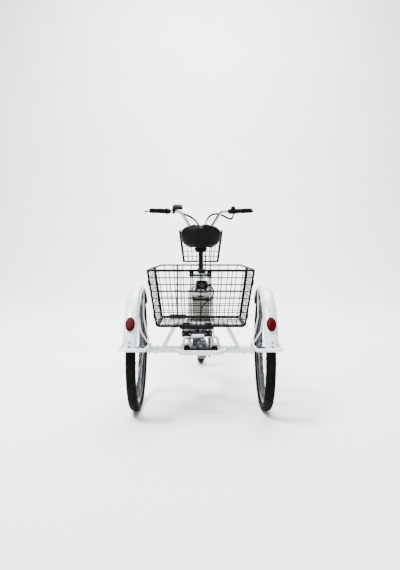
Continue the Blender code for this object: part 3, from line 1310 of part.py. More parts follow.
def brake_lever(name, side, inner):
    """A flat curved blade with a round ball at its tip, turning on an upright pin."""
    pivot = on_grip(side, inner + BRACKET_L / 2, LEVER_AHEAD)
    along_bar = grip_way(side)
    ahead = Vector((side * -GRIP_DIR.y, GRIP_DIR.x, 0))
    reach = LEVER_L
    path = [pivot + along_bar * a + ahead * b for a, b in
            ((0.004, 0.002), (0.020, 0.010), (0.045, 0.017), (0.080, 0.018), (reach, 0.020))]
    blade = pipe(name, path, 0.0038, 1)
    eye = rod(name + "_eye", pivot - Vector((0, 0, 0.0035)), pivot + Vector((0, 0, 0.0035)), 0.0062, 12)
    ball = rod(name + "_ball", path[-1] - along_bar * 0.006, path[-1] + along_bar * 0.006, 0.0065, 8)
    union(blade, eye, ball)
    room = rod(name + "_room", pivot - Vector((0, 0, 0.02)), pivot + Vector((0, 0, 0.02)), bore_r(0.0022, 12), 12)
    show(cut(blade, room), PLASTIC)
    turn = joint_at(name + "_joint", pivot)
    carry(turn, blade)
    return turn


def bar_controls():
    """Grips, throttle, brackets, display and switches, and the joints that carry what moves."""
    flange_left = GRIP_L
    left = show(sleeve("grip_left", -1, -0.003, flange_left, GRIP_R, 0.005), RUBBER)
    right_l = GRIP_L - THROTTLE_L - GAP
    right = show(sleeve("grip_right", 1, -0.003, right_l, GRIP_R), RUBBER)
    twist = show(sleeve("throttle_sleeve", 1, right_l + 2 * GAP, GRIP_L, GRIP_R - 0.001, 0.004), PLASTIC)
    left_bracket = lever_bracket("brake_bracket_left", -1, flange_left + GAP)
    body_from = GRIP_L + GAP
    right_bracket = lever_bracket("brake_bracket_right", 1, body_from + THROTTLE_BODY_L - 0.001)
    turn = facing(grip_way(1), Vector((0, 0, 1)))
    body = box("throttle_body", (THROTTLE_BODY_L, 0.052, 0.036),
               on_grip(1, body_from + THROTTLE_BODY_L / 2, 0.0, 0.006), turn)
    room = rod("throttle_room", on_grip(1, body_from - 0.03), on_grip(1, body_from + 0.08), bore_r(BAR_R + 0.0002, 12), 12)
    button_at = on_grip(1, body_from + THROTTLE_BODY_L / 2, -0.018, 0.017)
    toward_rider = Vector((GRIP_DIR.y, -GRIP_DIR.x, 0))
    well = rod("button_well", button_at - toward_rider * 0.006, button_at + toward_rider * 0.02, bore_r(0.0055, 12), 12)
    union(right_bracket, body)
    cut(right_bracket, room, well)
    show(left_bracket, PLASTIC)
    show(right_bracket, PLASTIC)
    button = rod("horn_button", button_at - toward_rider * 0.0043, button_at + toward_rider * 0.0025, 0.0055, 12)
    show(button, RED)
    button_joint = joint_at("horn_button_joint", button_at, toward_rider)
    carry(button_joint, button)
    twist_joint = joint_at("throttle_joint", on_grip(1, GRIP_L), grip_way(1))
    carry(twist_joint, twist)
    levers = [brake_lever("brake_lever_left", -1, flange_left + GAP),
              brake_lever("brake_lever_right", 1, body_from + THROTTLE_BODY_L - 0.001)]
    return [left, right, left_bracket, right_bracket, button_joint, twist_joint] + levers


def display_unit():
    """The display on its bar clamp, with one push button at its inner end."""
    inner = GRIP_L + BRACKET_L + 0.016
    at = on_grip(-1, inner + 0.010)
    centre = at + Vector((0.028, -0.004, 0.030))
    tilt = Matrix.Rotation(radians(35), 4, "X")
    made = box("display_unit", (0.066, 0.042, 0.014), centre, tilt, bevel=0.003)
    ring = rod("display_ring", on_grip(-1, inner), on_grip(-1, inner + 0.016), 0.0150, 12)
    neck = box("display_neck", (0.014, 0.014, 0.018), at + Vector((0, -0.002, 0.018)))
    union(made, ring, neck)
    room = rod("display_room", on_grip(-1, inner - 0.03), on_grip(-1, inner + 0.06), bore_r(BAR_R + 0.0002, 12), 12)
    normal = tilt.to_3x3() @ Vector((0, 0, 1))
    button_at = centre + Vector((0.026, 0, 0)) + normal * 0.0040
    well = rod("display_well", button_at, button_at + normal * 0.02, bore_r(0.0040, 12), 12)
    show(cut(made, room, well), PLASTIC)
    button = show(rod("display_button", button_at + normal * 0.0013, button_at + normal * 0.0048, 0.0040, 12), GREY)
    joint = joint_at("display_button_joint", button_at, normal)
    carry(joint, button)
    return [made, joint]


def front_basket():
    """A light wire basket: latticed walls let into four corner posts, and its bracket on the stem."""
    rise = FB_TOP_Z - FB_FLOOR_Z
    flare = (FB_TOP_W - FB_FLOOR_W) / 2
    lean = FB_TOP_L - FB_FLOOR_L
    inset = 0.0012
    thick = WIRE_T * 0.8

    def wall(name, foot_w, top_w, height, across_count, foot, across, up, skew=0.0):
        loops = [[(x + skew * (y / height), y) for x, y in loop]
                 for loop in panel_loops(foot_w - 2 * inset, top_w - 2 * inset, height, across_count, 2)]
        return flat_outline(name, loops, thick, foot, facing(across, up))

    back_y, front_y = FB_BACK, FB_BACK + FB_FLOOR_L
    made = wall("front_basket", FB_FLOOR_W, FB_TOP_W, rise, 3, Vector((0, back_y, FB_FLOOR_Z)), (1, 0, 0), (0, 0, 1))
    front_h = sqrt(rise ** 2 + lean ** 2)
    pieces = [wall("fb_front", FB_FLOOR_W, FB_TOP_W, front_h, 3, Vector((0, front_y, FB_FLOOR_Z)), (1, 0, 0),
                   (0, lean, rise))]
    side_h = sqrt(rise ** 2 + flare ** 2)
    for side in (-1, 1):
        foot = Vector((side * FB_FLOOR_W / 2, (back_y + front_y) / 2, FB_FLOOR_Z))
        pieces.append(wall("fb_side", FB_FLOOR_L, FB_TOP_L, side_h, 2, foot, (0, 1, 0), (side * flare, 0, rise),
                           lean / 2))
        for y, shift in ((back_y, 0.0), (front_y, lean)):
            pieces.append(rod("fb_post", (side * FB_FLOOR_W / 2, y, FB_FLOOR_Z - 0.0015),
                              (side * FB_TOP_W / 2, y + shift, FB_TOP_Z + 0.0015), 0.0034, 6))
    loops = panel_loops(FB_FLOOR_W + 0.001, FB_FLOOR_W + 0.001, FB_FLOOR_L + 0.001, 2, 2)
    pieces.append(flat_outline("fb_floor", loops, thick, Vector((0, back_y - 0.0005, FB_FLOOR_Z + 0.0035)),
                               facing((1, 0, 0), (0, 1, 0))))
    strap_z = FB_TOP_Z - 0.070
    stem_at = steer(0, 0, steer_up_to(strap_z))
    pieces.append(rod("bracket_arm", stem_at, Vector((0, back_y, strap_z)), 0.0060, 8))
    pieces.append(rod("bracket_ring", stem_at - HEAD_UP * 0.010, stem_at + HEAD_UP * 0.010, STEM_R + 0.004, 16))
    pieces.append(box("bracket_plate", (0.130, 0.0042, 0.034), Vector((0, back_y - 0.0012, strap_z + 0.003))))
    combine(made, "UNION", pieces, "MANIFOLD")
    room = rod("stem_room", stem_at - HEAD_UP * 0.05, stem_at + HEAD_UP * 0.05, bore_r(STEM_R + 0.0001))
    combine(made, "DIFFERENCE", [room], "MANIFOLD")
    return show(join_flat_faces(made), BLACK_WIRE)


def front_brake_cable():
    """From the right lever, round the stem's right side and down the fork to the hub brake."""
    start = on_grip(1, GRIP_L + THROTTLE_BODY_L + BRACKET_L + 0.001, 0.028, 0.0)
    path = smooth([start, start + Vector((-0.040, 0.016, 0.006)), CLAMP + Vector((0.100, 0.040, 0.080)),
                   CLAMP + Vector((0.072, 0.048, 0.0)), CLAMP + Vector((0.074, 0.060, -0.090)),
                   steer(0.066, 0.012, 0.430), steer(0.069, 0.0105, 0.300), steer(0.069, 0.0065, 0.160),
                   steer(0.070, 0.030, 0.060), FRONT_HUB + Vector((0.073, -0.012, 0.018))], 2)
    made = pipe("front_brake_cable", path, 0.0026, 0)
    clips = [box("cable_clip", (0.018, 0.008, 0.008), steer(0.066, forward, up), STEER_TURN)
             for forward, up in ((0.0105, 0.290), (0.0065, 0.160))]
    union(made, *clips)
    room = pipe("blade_room", blade_path(1), BLADE_R + 1.2 * GAP, 1)
    return show(cut(made, room), PLASTIC)


def control_harness():
    """The brake, throttle and display leads, gathered ahead of the stem and led down to the frame."""
    join = steer(0.026, 0.040, 0.560)
    left_start = on_grip(-1, GRIP_L + BRACKET_L + 0.0007, 0.028, 0.0)
    left = [left_start] + smooth([left_start - grip_way(-1) * 0.008, left_start + Vector((0.036, 0.018, 0.002)),
                                  CLAMP + Vector((-0.070, 0.030, 0.090)),
                   CLAMP + Vector((-0.010, 0.034, 0.030)), join + Vector((0.002, 0.004, 0.05)), join], 2)
    right_start = on_grip(1, GRIP_L + 0.007, -0.006, -0.0203)
    right = [right_start] + smooth([right_start - Vector((0, 0, 0.012)), right_start + Vector((-0.022, 0.014, -0.030)),
                                    CLAMP + Vector((0.150, 0.012, 0.078)), CLAMP + Vector((0.098, 0.034, 0.055)),
                                    CLAMP + Vector((0.050, 0.036, 0.0)),
                                    join + Vector((0.002, 0.002, 0.04)), join], 2)
    down = smooth([join + HEAD_UP * 0.004, steer(0.032, 0.020, 0.510), steer(0.0320, -0.010, 0.460),
                   steer(0.0285, -0.045, 0.405), steer(0.004, -0.066, 0.385)], 2)
    made = pipe("control_harness", down, 0.0038, 1)
    union(made, pipe("left_lead", left, 0.0026, 0), pipe("right_lead", right, 0.0026, 0))
    room = pipe("main_tube_room", main_tube_path(), MAIN_TUBE_R + 2 * GAP, 2)
    return show(cut(made, room), PLASTIC)


def steering_group(wheel_joint):
    pieces = [fork(), front_fender(), stem(), handlebar(), front_basket(), front_brake_cable(), control_harness()]
    pieces += bar_controls() + display_unit() + [wheel_joint]
    carry(joint_at("steering", steer(0, 0, HEAD_FROM), HEAD_UP), *pieces)


# The whole tricycle

rear_frame()
axle_cradle()
basket_arch()
clamp_bar()
rear_basket()
main_frame()
seat_clamp()
battery_group()
key_switch()
drive_motor()
motor_cable()
drive_train()
crankset()
seat_group()
for way, label in ((-1, "left"), (1, "right")):
    rear_wheel(way, label)
    rear_fender(way, label)
    reflector(way, label)
    wheel_guard(way, label)
steering_group(front_wheel())
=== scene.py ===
# Electric tricycle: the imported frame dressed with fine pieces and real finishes, lit and photographed.
# Metres, +Z up, +Y forward, +X to the rider's right. The origin is the middle of the footprint.
from math import asin, atan2, cos, pi, radians, sin, sqrt, tan

import bmesh
import bpy
from mathutils import Matrix, Vector


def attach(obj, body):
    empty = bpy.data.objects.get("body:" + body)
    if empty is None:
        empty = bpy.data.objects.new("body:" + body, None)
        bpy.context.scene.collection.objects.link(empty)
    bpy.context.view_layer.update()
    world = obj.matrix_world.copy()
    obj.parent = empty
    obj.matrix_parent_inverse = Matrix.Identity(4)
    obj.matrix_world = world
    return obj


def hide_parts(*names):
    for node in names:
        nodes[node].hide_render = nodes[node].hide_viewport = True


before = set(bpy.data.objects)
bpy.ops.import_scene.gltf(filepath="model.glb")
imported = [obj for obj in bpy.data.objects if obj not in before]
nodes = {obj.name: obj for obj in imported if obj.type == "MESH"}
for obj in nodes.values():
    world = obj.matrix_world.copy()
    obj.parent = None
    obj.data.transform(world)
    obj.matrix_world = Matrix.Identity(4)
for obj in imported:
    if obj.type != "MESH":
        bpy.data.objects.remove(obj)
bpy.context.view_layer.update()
print("frame loaded:", len(nodes), "nodes")

# The layout, as the part's own source has it
layout = {
    "rearY": -0.55525, "frontY": 0.61475, "axleZ": 0.3, "wheelX": 0.32,
    "headAngle": 70, "rake": 0.045, "seatAngle": 72, "bottomBracket": (0, -0.11665, 0.32),
    "basketFloorZ": 0.449, "gap": 0.0003,
}
rearY, frontY = layout["rearY"], layout["frontY"]
axleZ, wheelX = layout["axleZ"], layout["wheelX"]
gap = layout["gap"]
sides = ((-1, "left"), (1, "right"))


# Points, paths and solids that several pieces share

def vec(x, y, z):
    return Vector((x, y, z))


def rear(x, back, z):  # a point measured backward from the rear axle
    return vec(x, rearY - back, z)


headAngle, seatAngle = radians(layout["headAngle"]), radians(layout["seatAngle"])
headUp = vec(0, -cos(headAngle), sin(headAngle))
headForward = vec(0, sin(headAngle), cos(headAngle))
frontHub = vec(0, frontY, axleZ)
steerFoot = frontHub - layout["rake"] * headForward
bracketAt = Vector(layout["bottomBracket"])
seatUp = vec(0, -cos(seatAngle), sin(seatAngle))
seatBack = vec(0, -sin(seatAngle), -cos(seatAngle))
rearAxle = rear(0, 0, axleZ)


def steer(across, forward, up):  # a point in the steering's own frame
    return steerFoot + vec(across, 0, 0) + forward * headForward + up * headUp


def steerUpTo(z):  # how far up the steering axis a height lies
    return (z - steerFoot.z) / headUp.z


def seatLine(z):  # the point of the seat tube at a height
    return bracketAt + seatUp * ((z - bracketAt.z) / seatUp.z)


def facing(xAxis, yAxis, at=(0, 0, 0)):  # a plate's own x and y laid along these
    x = Vector(xAxis).normalized()
    z = x.cross(Vector(yAxis)).normalized()
    return Matrix.Translation(at) @ Matrix((x, z.cross(x), z)).transposed().to_4x4()


def along(direction, at=(0, 0, 0)):  # local Z laid along a direction
    z = Vector(direction).normalized()
    guide = vec(0, 0, 1) if abs(z.z) < 0.9 else vec(0, 1, 0)
    x = guide.cross(z).normalized()
    return Matrix.Translation(at) @ Matrix((x, z.cross(x), z)).transposed().to_4x4()


def rounded(points, radius, steps=10):  # corners of a bent tube made into arcs
    points = [Vector(p) for p in points]
    path = [points[0]]
    for before, corner, after in zip(points, points[1:], points[2:]):
        into = (before - corner).normalized()
        out = (after - corner).normalized()
        half = into.angle(out) / 2
        reach = min(radius / tan(half), (before - corner).length * 0.49, (after - corner).length * 0.49)
        middle = corner + (into + out).normalized() * (reach / cos(half))
        first = corner + into * reach - middle
        last = corner + out * reach - middle
        axis = first.cross(last)
        sweep = first.angle(last)
        path += [middle + Matrix.Rotation(sweep * i / steps, 3, axis) @ first for i in range(steps + 1)]
    path.append(points[-1])
    return path


def softPath(points, perSpan=8):  # a soft curve through chosen points
    points = [Vector(p) for p in points]
    ends = [points[0] * 2 - points[1]] + points + [points[-1] * 2 - points[-2]]
    path = []
    for a, b, c, d in zip(ends, ends[1:], ends[2:], ends[3:]):
        for i in range(perSpan):
            t = i / perSpan
            path.append(0.5 * (2 * b + (c - a) * t + (2 * a - 5 * b + 4 * c - d) * t ** 2
                               + (3 * b - a - 3 * c + d) * t ** 3))
    path.append(points[-1])
    return path


def spanRings(shape, rings, index, loop=False):  # faces between neighbouring rings of points
    pairs = list(zip(rings, rings[1:]))
    if loop:
        pairs.append((rings[-1], rings[0]))
    for low, high in pairs:
        count = max(len(low), len(high))
        for i in range(count):
            j = (i + 1) % count
            corners = [low[i % len(low)], low[j % len(low)], high[j % len(high)], high[i % len(high)]]
            kept = [v for n, v in enumerate(corners) if v not in corners[:n]]
            shape.faces.new(kept).material_index = index


def tubeInto(shape, path, radius, around=14, loop=False, index=0):
    points = [Vector(p) for p in path]
    count = len(points)
    radii = radius if isinstance(radius, (list, tuple)) else [radius] * count
    rings = []
    normal = None
    for i, point in enumerate(points):
        after = points[(i + 1) % count] if loop else points[min(i + 1, count - 1)]
        before = points[i - 1] if loop else points[max(i - 1, 0)]
        tangent = (after - before).normalized()
        if normal is None:
            normal = (vec(0, 0, 1) if abs(tangent.z) < 0.9 else vec(0, 1, 0)).cross(tangent)
        normal = (normal - tangent * normal.dot(tangent)).normalized()
        side = tangent.cross(normal)
        rings.append([shape.verts.new(point + radii[i] * (cos(a) * normal + sin(a) * side))
                      for a in (2 * pi * k / around for k in range(around))])
    spanRings(shape, rings, index, loop)
    if not loop:
        shape.faces.new(list(reversed(rings[0]))).material_index = index
        shape.faces.new(rings[-1]).material_index = index


def rodInto(shape, start, end, radius, around=24, index=0, edge=0.0):  # a round bar, its ends eased
    start, end = Vector(start), Vector(end)
    way = (end - start).normalized()
    if edge:
        path = [start, start + way * edge, end - way * edge, end]
        tubeInto(shape, path, [radius - edge, radius, radius, radius - edge], around, index=index)
    else:
        tubeInto(shape, [start, end], radius, around, index=index)


# A turned solid, from a profile of radii and heights along its axis
def turnInto(shape, profile, centre, axis, steps=48, loop=False, index=0, ripple=None):
    turn = along(axis, centre)
    rings = []
    for n, (r, height) in enumerate(profile):
        if r < 1e-6:
            rings.append([shape.verts.new(turn @ vec(0, 0, height))])
            continue
        ring = []
        for k in range(steps):
            reach = r + (ripple(k, n, height) if ripple else 0.0)
            angle = 2 * pi * k / steps
            ring.append(shape.verts.new(turn @ vec(reach * cos(angle), reach * sin(angle), height)))
        rings.append(ring)
    spanRings(shape, rings, index, loop)


# A ring or sleeve whose outer edges are eased by so much across and so much along
def sleeveInto(shape, bore, outer, span, ease, centre, axis, steps=40, index=0):
    low, high = span
    inset, drop = ease
    profile = [(bore, low), (outer - inset, low), (outer, low + drop), (outer, high - drop),
               (outer - inset, high), (bore, high)]
    turnInto(shape, profile, centre, axis, steps, loop=True, index=index)


def tieInto(shape, path, share, radius, thick, steps):  # a cable tie, so far along a lead
    spot = path[int(len(path) * share)]
    way = path[int(len(path) * share) + 1] - spot
    half = 0.0018
    turnInto(shape, [(radius, -half), (radius + thick, -half), (radius + thick, half), (radius, half)],
             spot, way, steps, loop=True)


# A box with rounded edges, at a point or turned by a matrix
def boxInto(shape, size, place, edge=0.0, index=0, segments=2):
    turn = place if isinstance(place, Matrix) else Matrix.Translation(place)
    made = bmesh.ops.create_cube(shape, size=1.0, matrix=turn @ Matrix.Diagonal((*size, 1.0)))
    faces = {f for v in made["verts"] for f in v.link_faces}
    for face in faces:
        face.material_index = index
    if edge:
        edges = list({e for v in made["verts"] for e in v.link_edges})
        bmesh.ops.bevel(shape, geom=edges, offset=edge, segments=segments, affect="EDGES", material=index)


# A flat plate with holes, filled as a 2D curve
def plateInto(shape, loops, thickness, turn, index=0, edge=0.0):
    curve = bpy.data.curves.new("outline", "CURVE")
    curve.dimensions = "2D"
    curve.fill_mode = "BOTH"
    curve.extrude = thickness / 2 - edge
    curve.bevel_depth = edge
    curve.bevel_resolution = 1
    curve.offset = -edge
    for loop in loops:
        spline = curve.splines.new("POLY")
        spline.points.add(len(loop) - 1)
        spline.use_cyclic_u = True
        for point, (x, y) in zip(spline.points, loop):
            point.co = (x, y, 0.0, 1.0)
    holder = bpy.data.objects.new("outline", curve)
    bpy.context.scene.collection.objects.link(holder)
    bpy.context.view_layer.update()
    mesh = bpy.data.meshes.new_from_object(holder.evaluated_get(bpy.context.evaluated_depsgraph_get()))
    bpy.data.objects.remove(holder, do_unlink=True)
    bpy.data.curves.remove(curve)
    mesh.transform(turn)
    for polygon in mesh.polygons:
        polygon.material_index = index
    shape.from_mesh(mesh)
    bpy.data.meshes.remove(mesh)


def ballInto(shape, centre, radius, squash=(1, 1, 1), index=0, turn=None):
    matrix = Matrix.Translation(centre) @ (turn or Matrix.Identity(4)) @ Matrix.Diagonal((*squash, 1.0))
    made = bmesh.ops.create_uvsphere(shape, u_segments=18, v_segments=10, radius=radius, matrix=matrix)
    for face in {f for v in made["verts"] for f in v.link_faces}:
        face.material_index = index


def boltInto(shape, at, way, across, height, index=1):  # a hexagon head with a low dome, on its washer
    way = Vector(way).normalized()
    at = Vector(at)
    sunk, washerTop = at - way * 0.0015, at + way * 0.0006
    radii = [across / 2, across / 2, across * 0.4]
    tubeInto(shape, [sunk, at + way * height * 0.8, at + way * height], radii, 6, index=index)
    tubeInto(shape, [sunk, washerTop], across * 0.62, 18, index=index)


def circle(radius, count, centre=(0.0, 0.0)):
    angles = [2 * pi * i / count for i in range(count)]
    return [(centre[0] + radius * cos(a), centre[1] + radius * sin(a)) for a in angles]


# The rippled bead where one tube meets another
def weldInto(shape, at, way, radius, bead=0.0022, index=0, ripples=36):
    turn = along(way, at)
    path = [turn @ vec(x, y, 0) for x, y in circle(radius, ripples)]
    radii = [bead * (1.0 + 0.16 * (k % 2)) for k in range(ripples)]
    tubeInto(shape, path, radii, 8, loop=True, index=index)


# One visible piece: its mesh, its finishes, the body it rides on and the nodes it stands for
def makePiece(name, shape, materials, body, stands=(), smoothAngle=40):
    bmesh.ops.recalc_face_normals(shape, faces=shape.faces)
    mesh = bpy.data.meshes.new(name)
    shape.to_mesh(mesh)
    shape.free()
    for material in materials:
        mesh.materials.append(material)
    mesh.shade_smooth()
    mesh.set_sharp_from_angle(angle=radians(smoothAngle))
    piece = bpy.data.objects.new(name, mesh)
    bpy.context.scene.collection.objects.link(piece)
    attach(piece, body)
    if stands:
        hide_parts(*stands)
    return piece


# Finishes

def linear(hexColour):  # sRGB hex to the linear numbers that the shader takes
    values = [int(hexColour[i:i + 2], 16) / 255 for i in (1, 3, 5)]
    return tuple(v / 12.92 if v <= 0.04045 else ((v + 0.055) / 1.055) ** 2.4 for v in values) + (1.0,)


def addNode(tree, kind, inputs=None, **settings):  # inputs are values or other nodes' outputs
    node = tree.nodes.new("ShaderNode" + kind)
    for name, value in settings.items():
        setattr(node, name, value)
    for name, value in (inputs or {}).items():
        if isinstance(value, bpy.types.NodeSocket):
            tree.links.new(value, node.inputs[name])
        else:
            node.inputs[name].default_value = value
    return node


# Patches and grain are in millimetres. Moulded plastic and brushed metal have a grain under 0.3 mm, too fine
# to show from the camera, so it is drawn at 0.7 mm or more
finishes = {
    "stoved white enamel": {  # sprayed and baked gloss on steel: cool white, faint orange peel, road film
        "light": "#e8edef", "dark": "#d2dde3", "patchMm": 90,
        "rough": (0.2, 0.33), "grainMm": 2.2, "bump": 0.05,
        "film": ("#b9b3a6", 0.34), "ior": 1.5, "coat": 0.35, "coatRough": 0.12},
    "plastic dipped wire": {  # black PVC dip over steel wire: satin, and browner where it thins
        "light": "#070605", "dark": "#040303", "patchMm": 26,
        "rough": (0.34, 0.5), "grainMm": 3.0, "bump": 0.1,
        "ior": 1.45, "specular": 0.05},
    "moulded tyre rubber": {  # cured carbon black rubber: dull charcoal, paler where it rolls
        "light": "#080808", "dark": "#050505", "patchMm": 60,
        "rough": (0.66, 0.8), "grainMm": 1.6, "bump": 0.18,
        "ior": 1.45, "specular": 0.04, "dust": ("#12110f", 0.295, 0.3012)},
    "spun aluminium": {  # turned and brushed hubs, cranks and rail: satin grey, cloudy, painted darker than bare aluminium as shade
        "light": "#5c6064", "dark": "#373b3f", "patchMm": 70,
        "rough": (0.26, 0.38), "grainMm": 0.9, "bump": 0.06,
        "metal": 1.0, "film": ("#9d968a", 0.16)},
    "zinc plated steel": {  # bright zinc on spokes, bolts and axles: bluish grey, slightly cloudy, painted darker than the bare plate as shade
        "light": "#63686c", "dark": "#383d41", "patchMm": 18,
        "rough": (0.24, 0.42), "grainMm": 1.2, "bump": 0.05,
        "metal": 1.0},
    "bright chrome": {  # polished nickel and chrome plate: near mirror with a handling haze
        "light": "#c4c7ca", "dark": "#a6aaae", "patchMm": 60,
        "rough": (0.07, 0.16), "grainMm": 0.8, "bump": 0.01,
        "metal": 1.0},
    "yellow zinc chromate": {  # passivated steel sprocket: greenish gold with a rainbow cloud
        "light": "#8d7f3e", "dark": "#5a5430", "patchMm": 12,
        "rough": (0.28, 0.44), "grainMm": 0.9, "bump": 0.05,
        "metal": 1.0},
    "oiled chain steel": {  # rolled plates under a film of oil: dark brown grey, glossy in spots
        "light": "#4a453e", "dark": "#26221e", "patchMm": 7,
        "rough": (0.22, 0.48), "grainMm": 0.8, "bump": 0.05,
        "metal": 1.0},
    "extruded grip rubber": {  # soft black thermoplastic: matt, with a slight sheen where hands rub
        "light": "#060606", "dark": "#040404", "patchMm": 20,
        "rough": (0.52, 0.7), "grainMm": 0.8, "bump": 0.12,
        "ior": 1.5, "specular": 0.05},
    "spark textured abs": {  # black moulded ABS with an etched mould texture
        "light": "#070708", "dark": "#040404", "patchMm": 40,
        "rough": (0.42, 0.56), "grainMm": 0.7, "bump": 0.16,
        "ior": 1.53, "specular": 0.06},
    "grey moulded abs": {  # light grey battery shell: matt moulded plastic with a warm cast
        "light": "#83827a", "dark": "#6c6b63", "patchMm": 55,
        "rough": (0.44, 0.58), "grainMm": 0.7, "bump": 0.14,
        "ior": 1.53},
    "embossed black vinyl": {  # calendered vinyl: blue black, soft sheen, pebble grain
        "light": "#08090b", "dark": "#040506", "patchMm": 30,
        "rough": (0.38, 0.52), "grainMm": 1.5, "bump": 0.3,
        "cells": True, "ior": 1.5, "specular": 0.11},
    "red acrylic lens": {  # injection moulded prism lens: deep red, clear face over pyramids
        "light": "#500005", "dark": "#240003", "patchMm": 5,
        "rough": (0.22, 0.34), "grainMm": 2.4, "bump": 0.6,
        "cells": True, "ior": 1.49, "specular": 0.05},
    "dark tinted glass": {  # display window: smoked polycarbonate over a dark panel
        "light": "#0b0e10", "dark": "#060708", "patchMm": 80,
        "rough": (0.34, 0.42), "grainMm": 5.0, "bump": 0.01,
        "ior": 1.45, "specular": 0.02},
    "sand cast aluminium": {  # motor and differential housings: darker and rougher than the hubs
        "light": "#6d7073", "dark": "#35383a", "patchMm": 22,
        "rough": (0.38, 0.56), "grainMm": 1.4, "bump": 0.14,
        "metal": 1.0},
    "rim aluminium with painted shade": {  # silver aluminium hoops painted dark grey as shade inside the wheels: satin, dusty at the foot
        "light": "#33373a", "dark": "#1c1f21", "patchMm": 60,
        "rough": (0.3, 0.42), "grainMm": 0.9, "bump": 0.06,
        "metal": 1.0, "film": ("#55514a", 0.1)},
    "mudguard inside painted shade": {  # painted shade: dark grey inside the mudguards, where the blade hides them from the lamps; matt and pebbly
        "light": "#1a1917", "dark": "#0a0a0a", "patchMm": 34,
        "rough": (0.74, 0.88), "grainMm": 2.0, "bump": 0.25,
        "ior": 1.45, "specular": 0.06},
    "black oxide steel": {  # dark oxide on brackets and clamps: brown black, low gloss
        "light": "#0b0a0a", "dark": "#060505", "patchMm": 16,
        "rough": (0.36, 0.52), "grainMm": 1.0, "bump": 0.08,
        "metal": 0.2, "specular": 0.07},
}


socketNames = {"metal": "Metallic", "ior": "IOR", "specular": "Specular IOR Level", "coat": "Coat Weight",
               "coatRough": "Coat Roughness"}


def makeFinish(name, look):
    material = bpy.data.materials.new(name)
    material.use_nodes = True
    tree = material.node_tree
    shader = tree.nodes["Principled BSDF"]
    for key, socket in socketNames.items():
        if key in look:
            shader.inputs[socket].default_value = look[key]
    place = addNode(tree, "TexCoord").outputs["Object"]
    patch = addNode(tree, "TexNoise", {"Vector": place, "Scale": 1000 / look["patchMm"], "Detail": 4.0,
                                       "Roughness": 0.55}).outputs["Fac"]
    spread = addNode(tree, "MapRange", {"Value": patch, "From Min": 0.34, "From Max": 0.66}).outputs["Result"]
    colour = addNode(tree, "Mix", {"Factor": spread, "A": linear(look["dark"]), "B": linear(look["light"])},
                     data_type="RGBA").outputs["Result"]
    dirt = []
    if "film" in look:  # road dirt, thicker toward the ground
        filmColour, filmTop = look["film"]
        height = addNode(tree, "SeparateXYZ", {"Vector": place}).outputs["Z"]
        dirt.append((height, filmTop, 0.02, 0.55, filmColour))
    if "dust" in look:  # dry dust on the rolling face, by distance from the wheel's own axle
        dustColour, fromR, toR = look["dust"]
        dirt.append((tyreReach(tree, place), fromR, toR, 0.75, dustColour))
    for value, least, most, strength, dirtColour in dirt:
        cover = addNode(tree, "MapRange", {"Value": value, "From Min": least, "From Max": most,
                                           "To Max": strength}).outputs["Result"]
        share = addNode(tree, "Math", {0: cover, 1: spread}, operation="MULTIPLY").outputs[0]
        colour = addNode(tree, "Mix", {"Factor": share, "A": colour, "B": linear(dirtColour)},
                         data_type="RGBA").outputs["Result"]
    roughLow, roughHigh = look["rough"]
    rough = addNode(tree, "MapRange", {"Value": patch, "From Min": 0.3, "From Max": 0.7, "To Min": roughHigh,
                                       "To Max": roughLow}).outputs["Result"]
    grainScale = 1000 / look["grainMm"]
    if look.get("cells"):
        grain = addNode(tree, "TexVoronoi", {"Vector": place, "Scale": grainScale}).outputs["Distance"]
    else:
        grain = addNode(tree, "TexNoise", {"Vector": place, "Scale": grainScale,
                                           "Detail": 2.0}).outputs["Fac"]
    bump = addNode(tree, "Bump", {"Height": grain, "Strength": look["bump"],
                                  "Distance": look["grainMm"] / 2000})
    tree.links.new(colour, shader.inputs["Base Color"])
    tree.links.new(rough, shader.inputs["Roughness"])
    tree.links.new(bump.outputs["Normal"], shader.inputs["Normal"])
    return material


def tyreReach(tree, place):  # distance from whichever axle is nearer, in the plane of the wheels
    parts = addNode(tree, "SeparateXYZ", {"Vector": place}).outputs
    ahead = addNode(tree, "Math", {0: parts["Y"], 1: 0.03}, operation="GREATER_THAN").outputs[0]
    axleY = addNode(tree, "MapRange", {"Value": ahead, "To Min": rearY, "To Max": frontY}).outputs["Result"]
    y = addNode(tree, "Math", {0: parts["Y"], 1: axleY}, operation="SUBTRACT").outputs[0]
    z = addNode(tree, "Math", {0: parts["Z"], 1: axleZ}, operation="SUBTRACT").outputs[0]
    flat = addNode(tree, "CombineXYZ", {"X": y, "Y": z}).outputs["Vector"]
    return addNode(tree, "VectorMath", {0: flat}, operation="LENGTH").outputs["Value"]


finish = {name: makeFinish(name, look) for name, look in finishes.items()}
enamel, wire = finish["stoved white enamel"], finish["plastic dipped wire"]
rubber, gripRubber = finish["moulded tyre rubber"], finish["extruded grip rubber"]
alloy, cast, shadedHoop = finish["spun aluminium"], finish["sand cast aluminium"], finish["rim aluminium with painted shade"]
zinc, chrome, gold = finish["zinc plated steel"], finish["bright chrome"], finish["yellow zinc chromate"]
oiled, oxide = finish["oiled chain steel"], finish["black oxide steel"]
plastic, greyPlastic = finish["spark textured abs"], finish["grey moulded abs"]
vinyl, insideShade = finish["embossed black vinyl"], finish["mudguard inside painted shade"]
lens, glass = finish["red acrylic lens"], finish["dark tinted glass"]

print("finishes made:", len(finish))


# Wheels

wheel = {
    "rimEdge": 0.2595, "rimHalf": 0.0135, "rimFoot": 0.2435, "spokes": 36, "spokeR": 0.0011, "crossed": 60,
    "flangeR": 0.031, "flangeX": 0.026, "hubR": 0.016, "shaftR": 0.008, "frontHalf": 0.047, "drumR": 0.043,
    "tyreSteps": 288, "sidePoints": 7, "treadDepth": 0.0017, "treadTo": 0.0208, "blockW": 0.0045,
    "blockSteps": 5, "grooves": ((0.0048, 0.0072), (0.0125, 0.0135)), "beadR": 0.2625, "beadHalf": 0.0085,
    "nippleL": 0.0125, "valveAngle": 62,
}
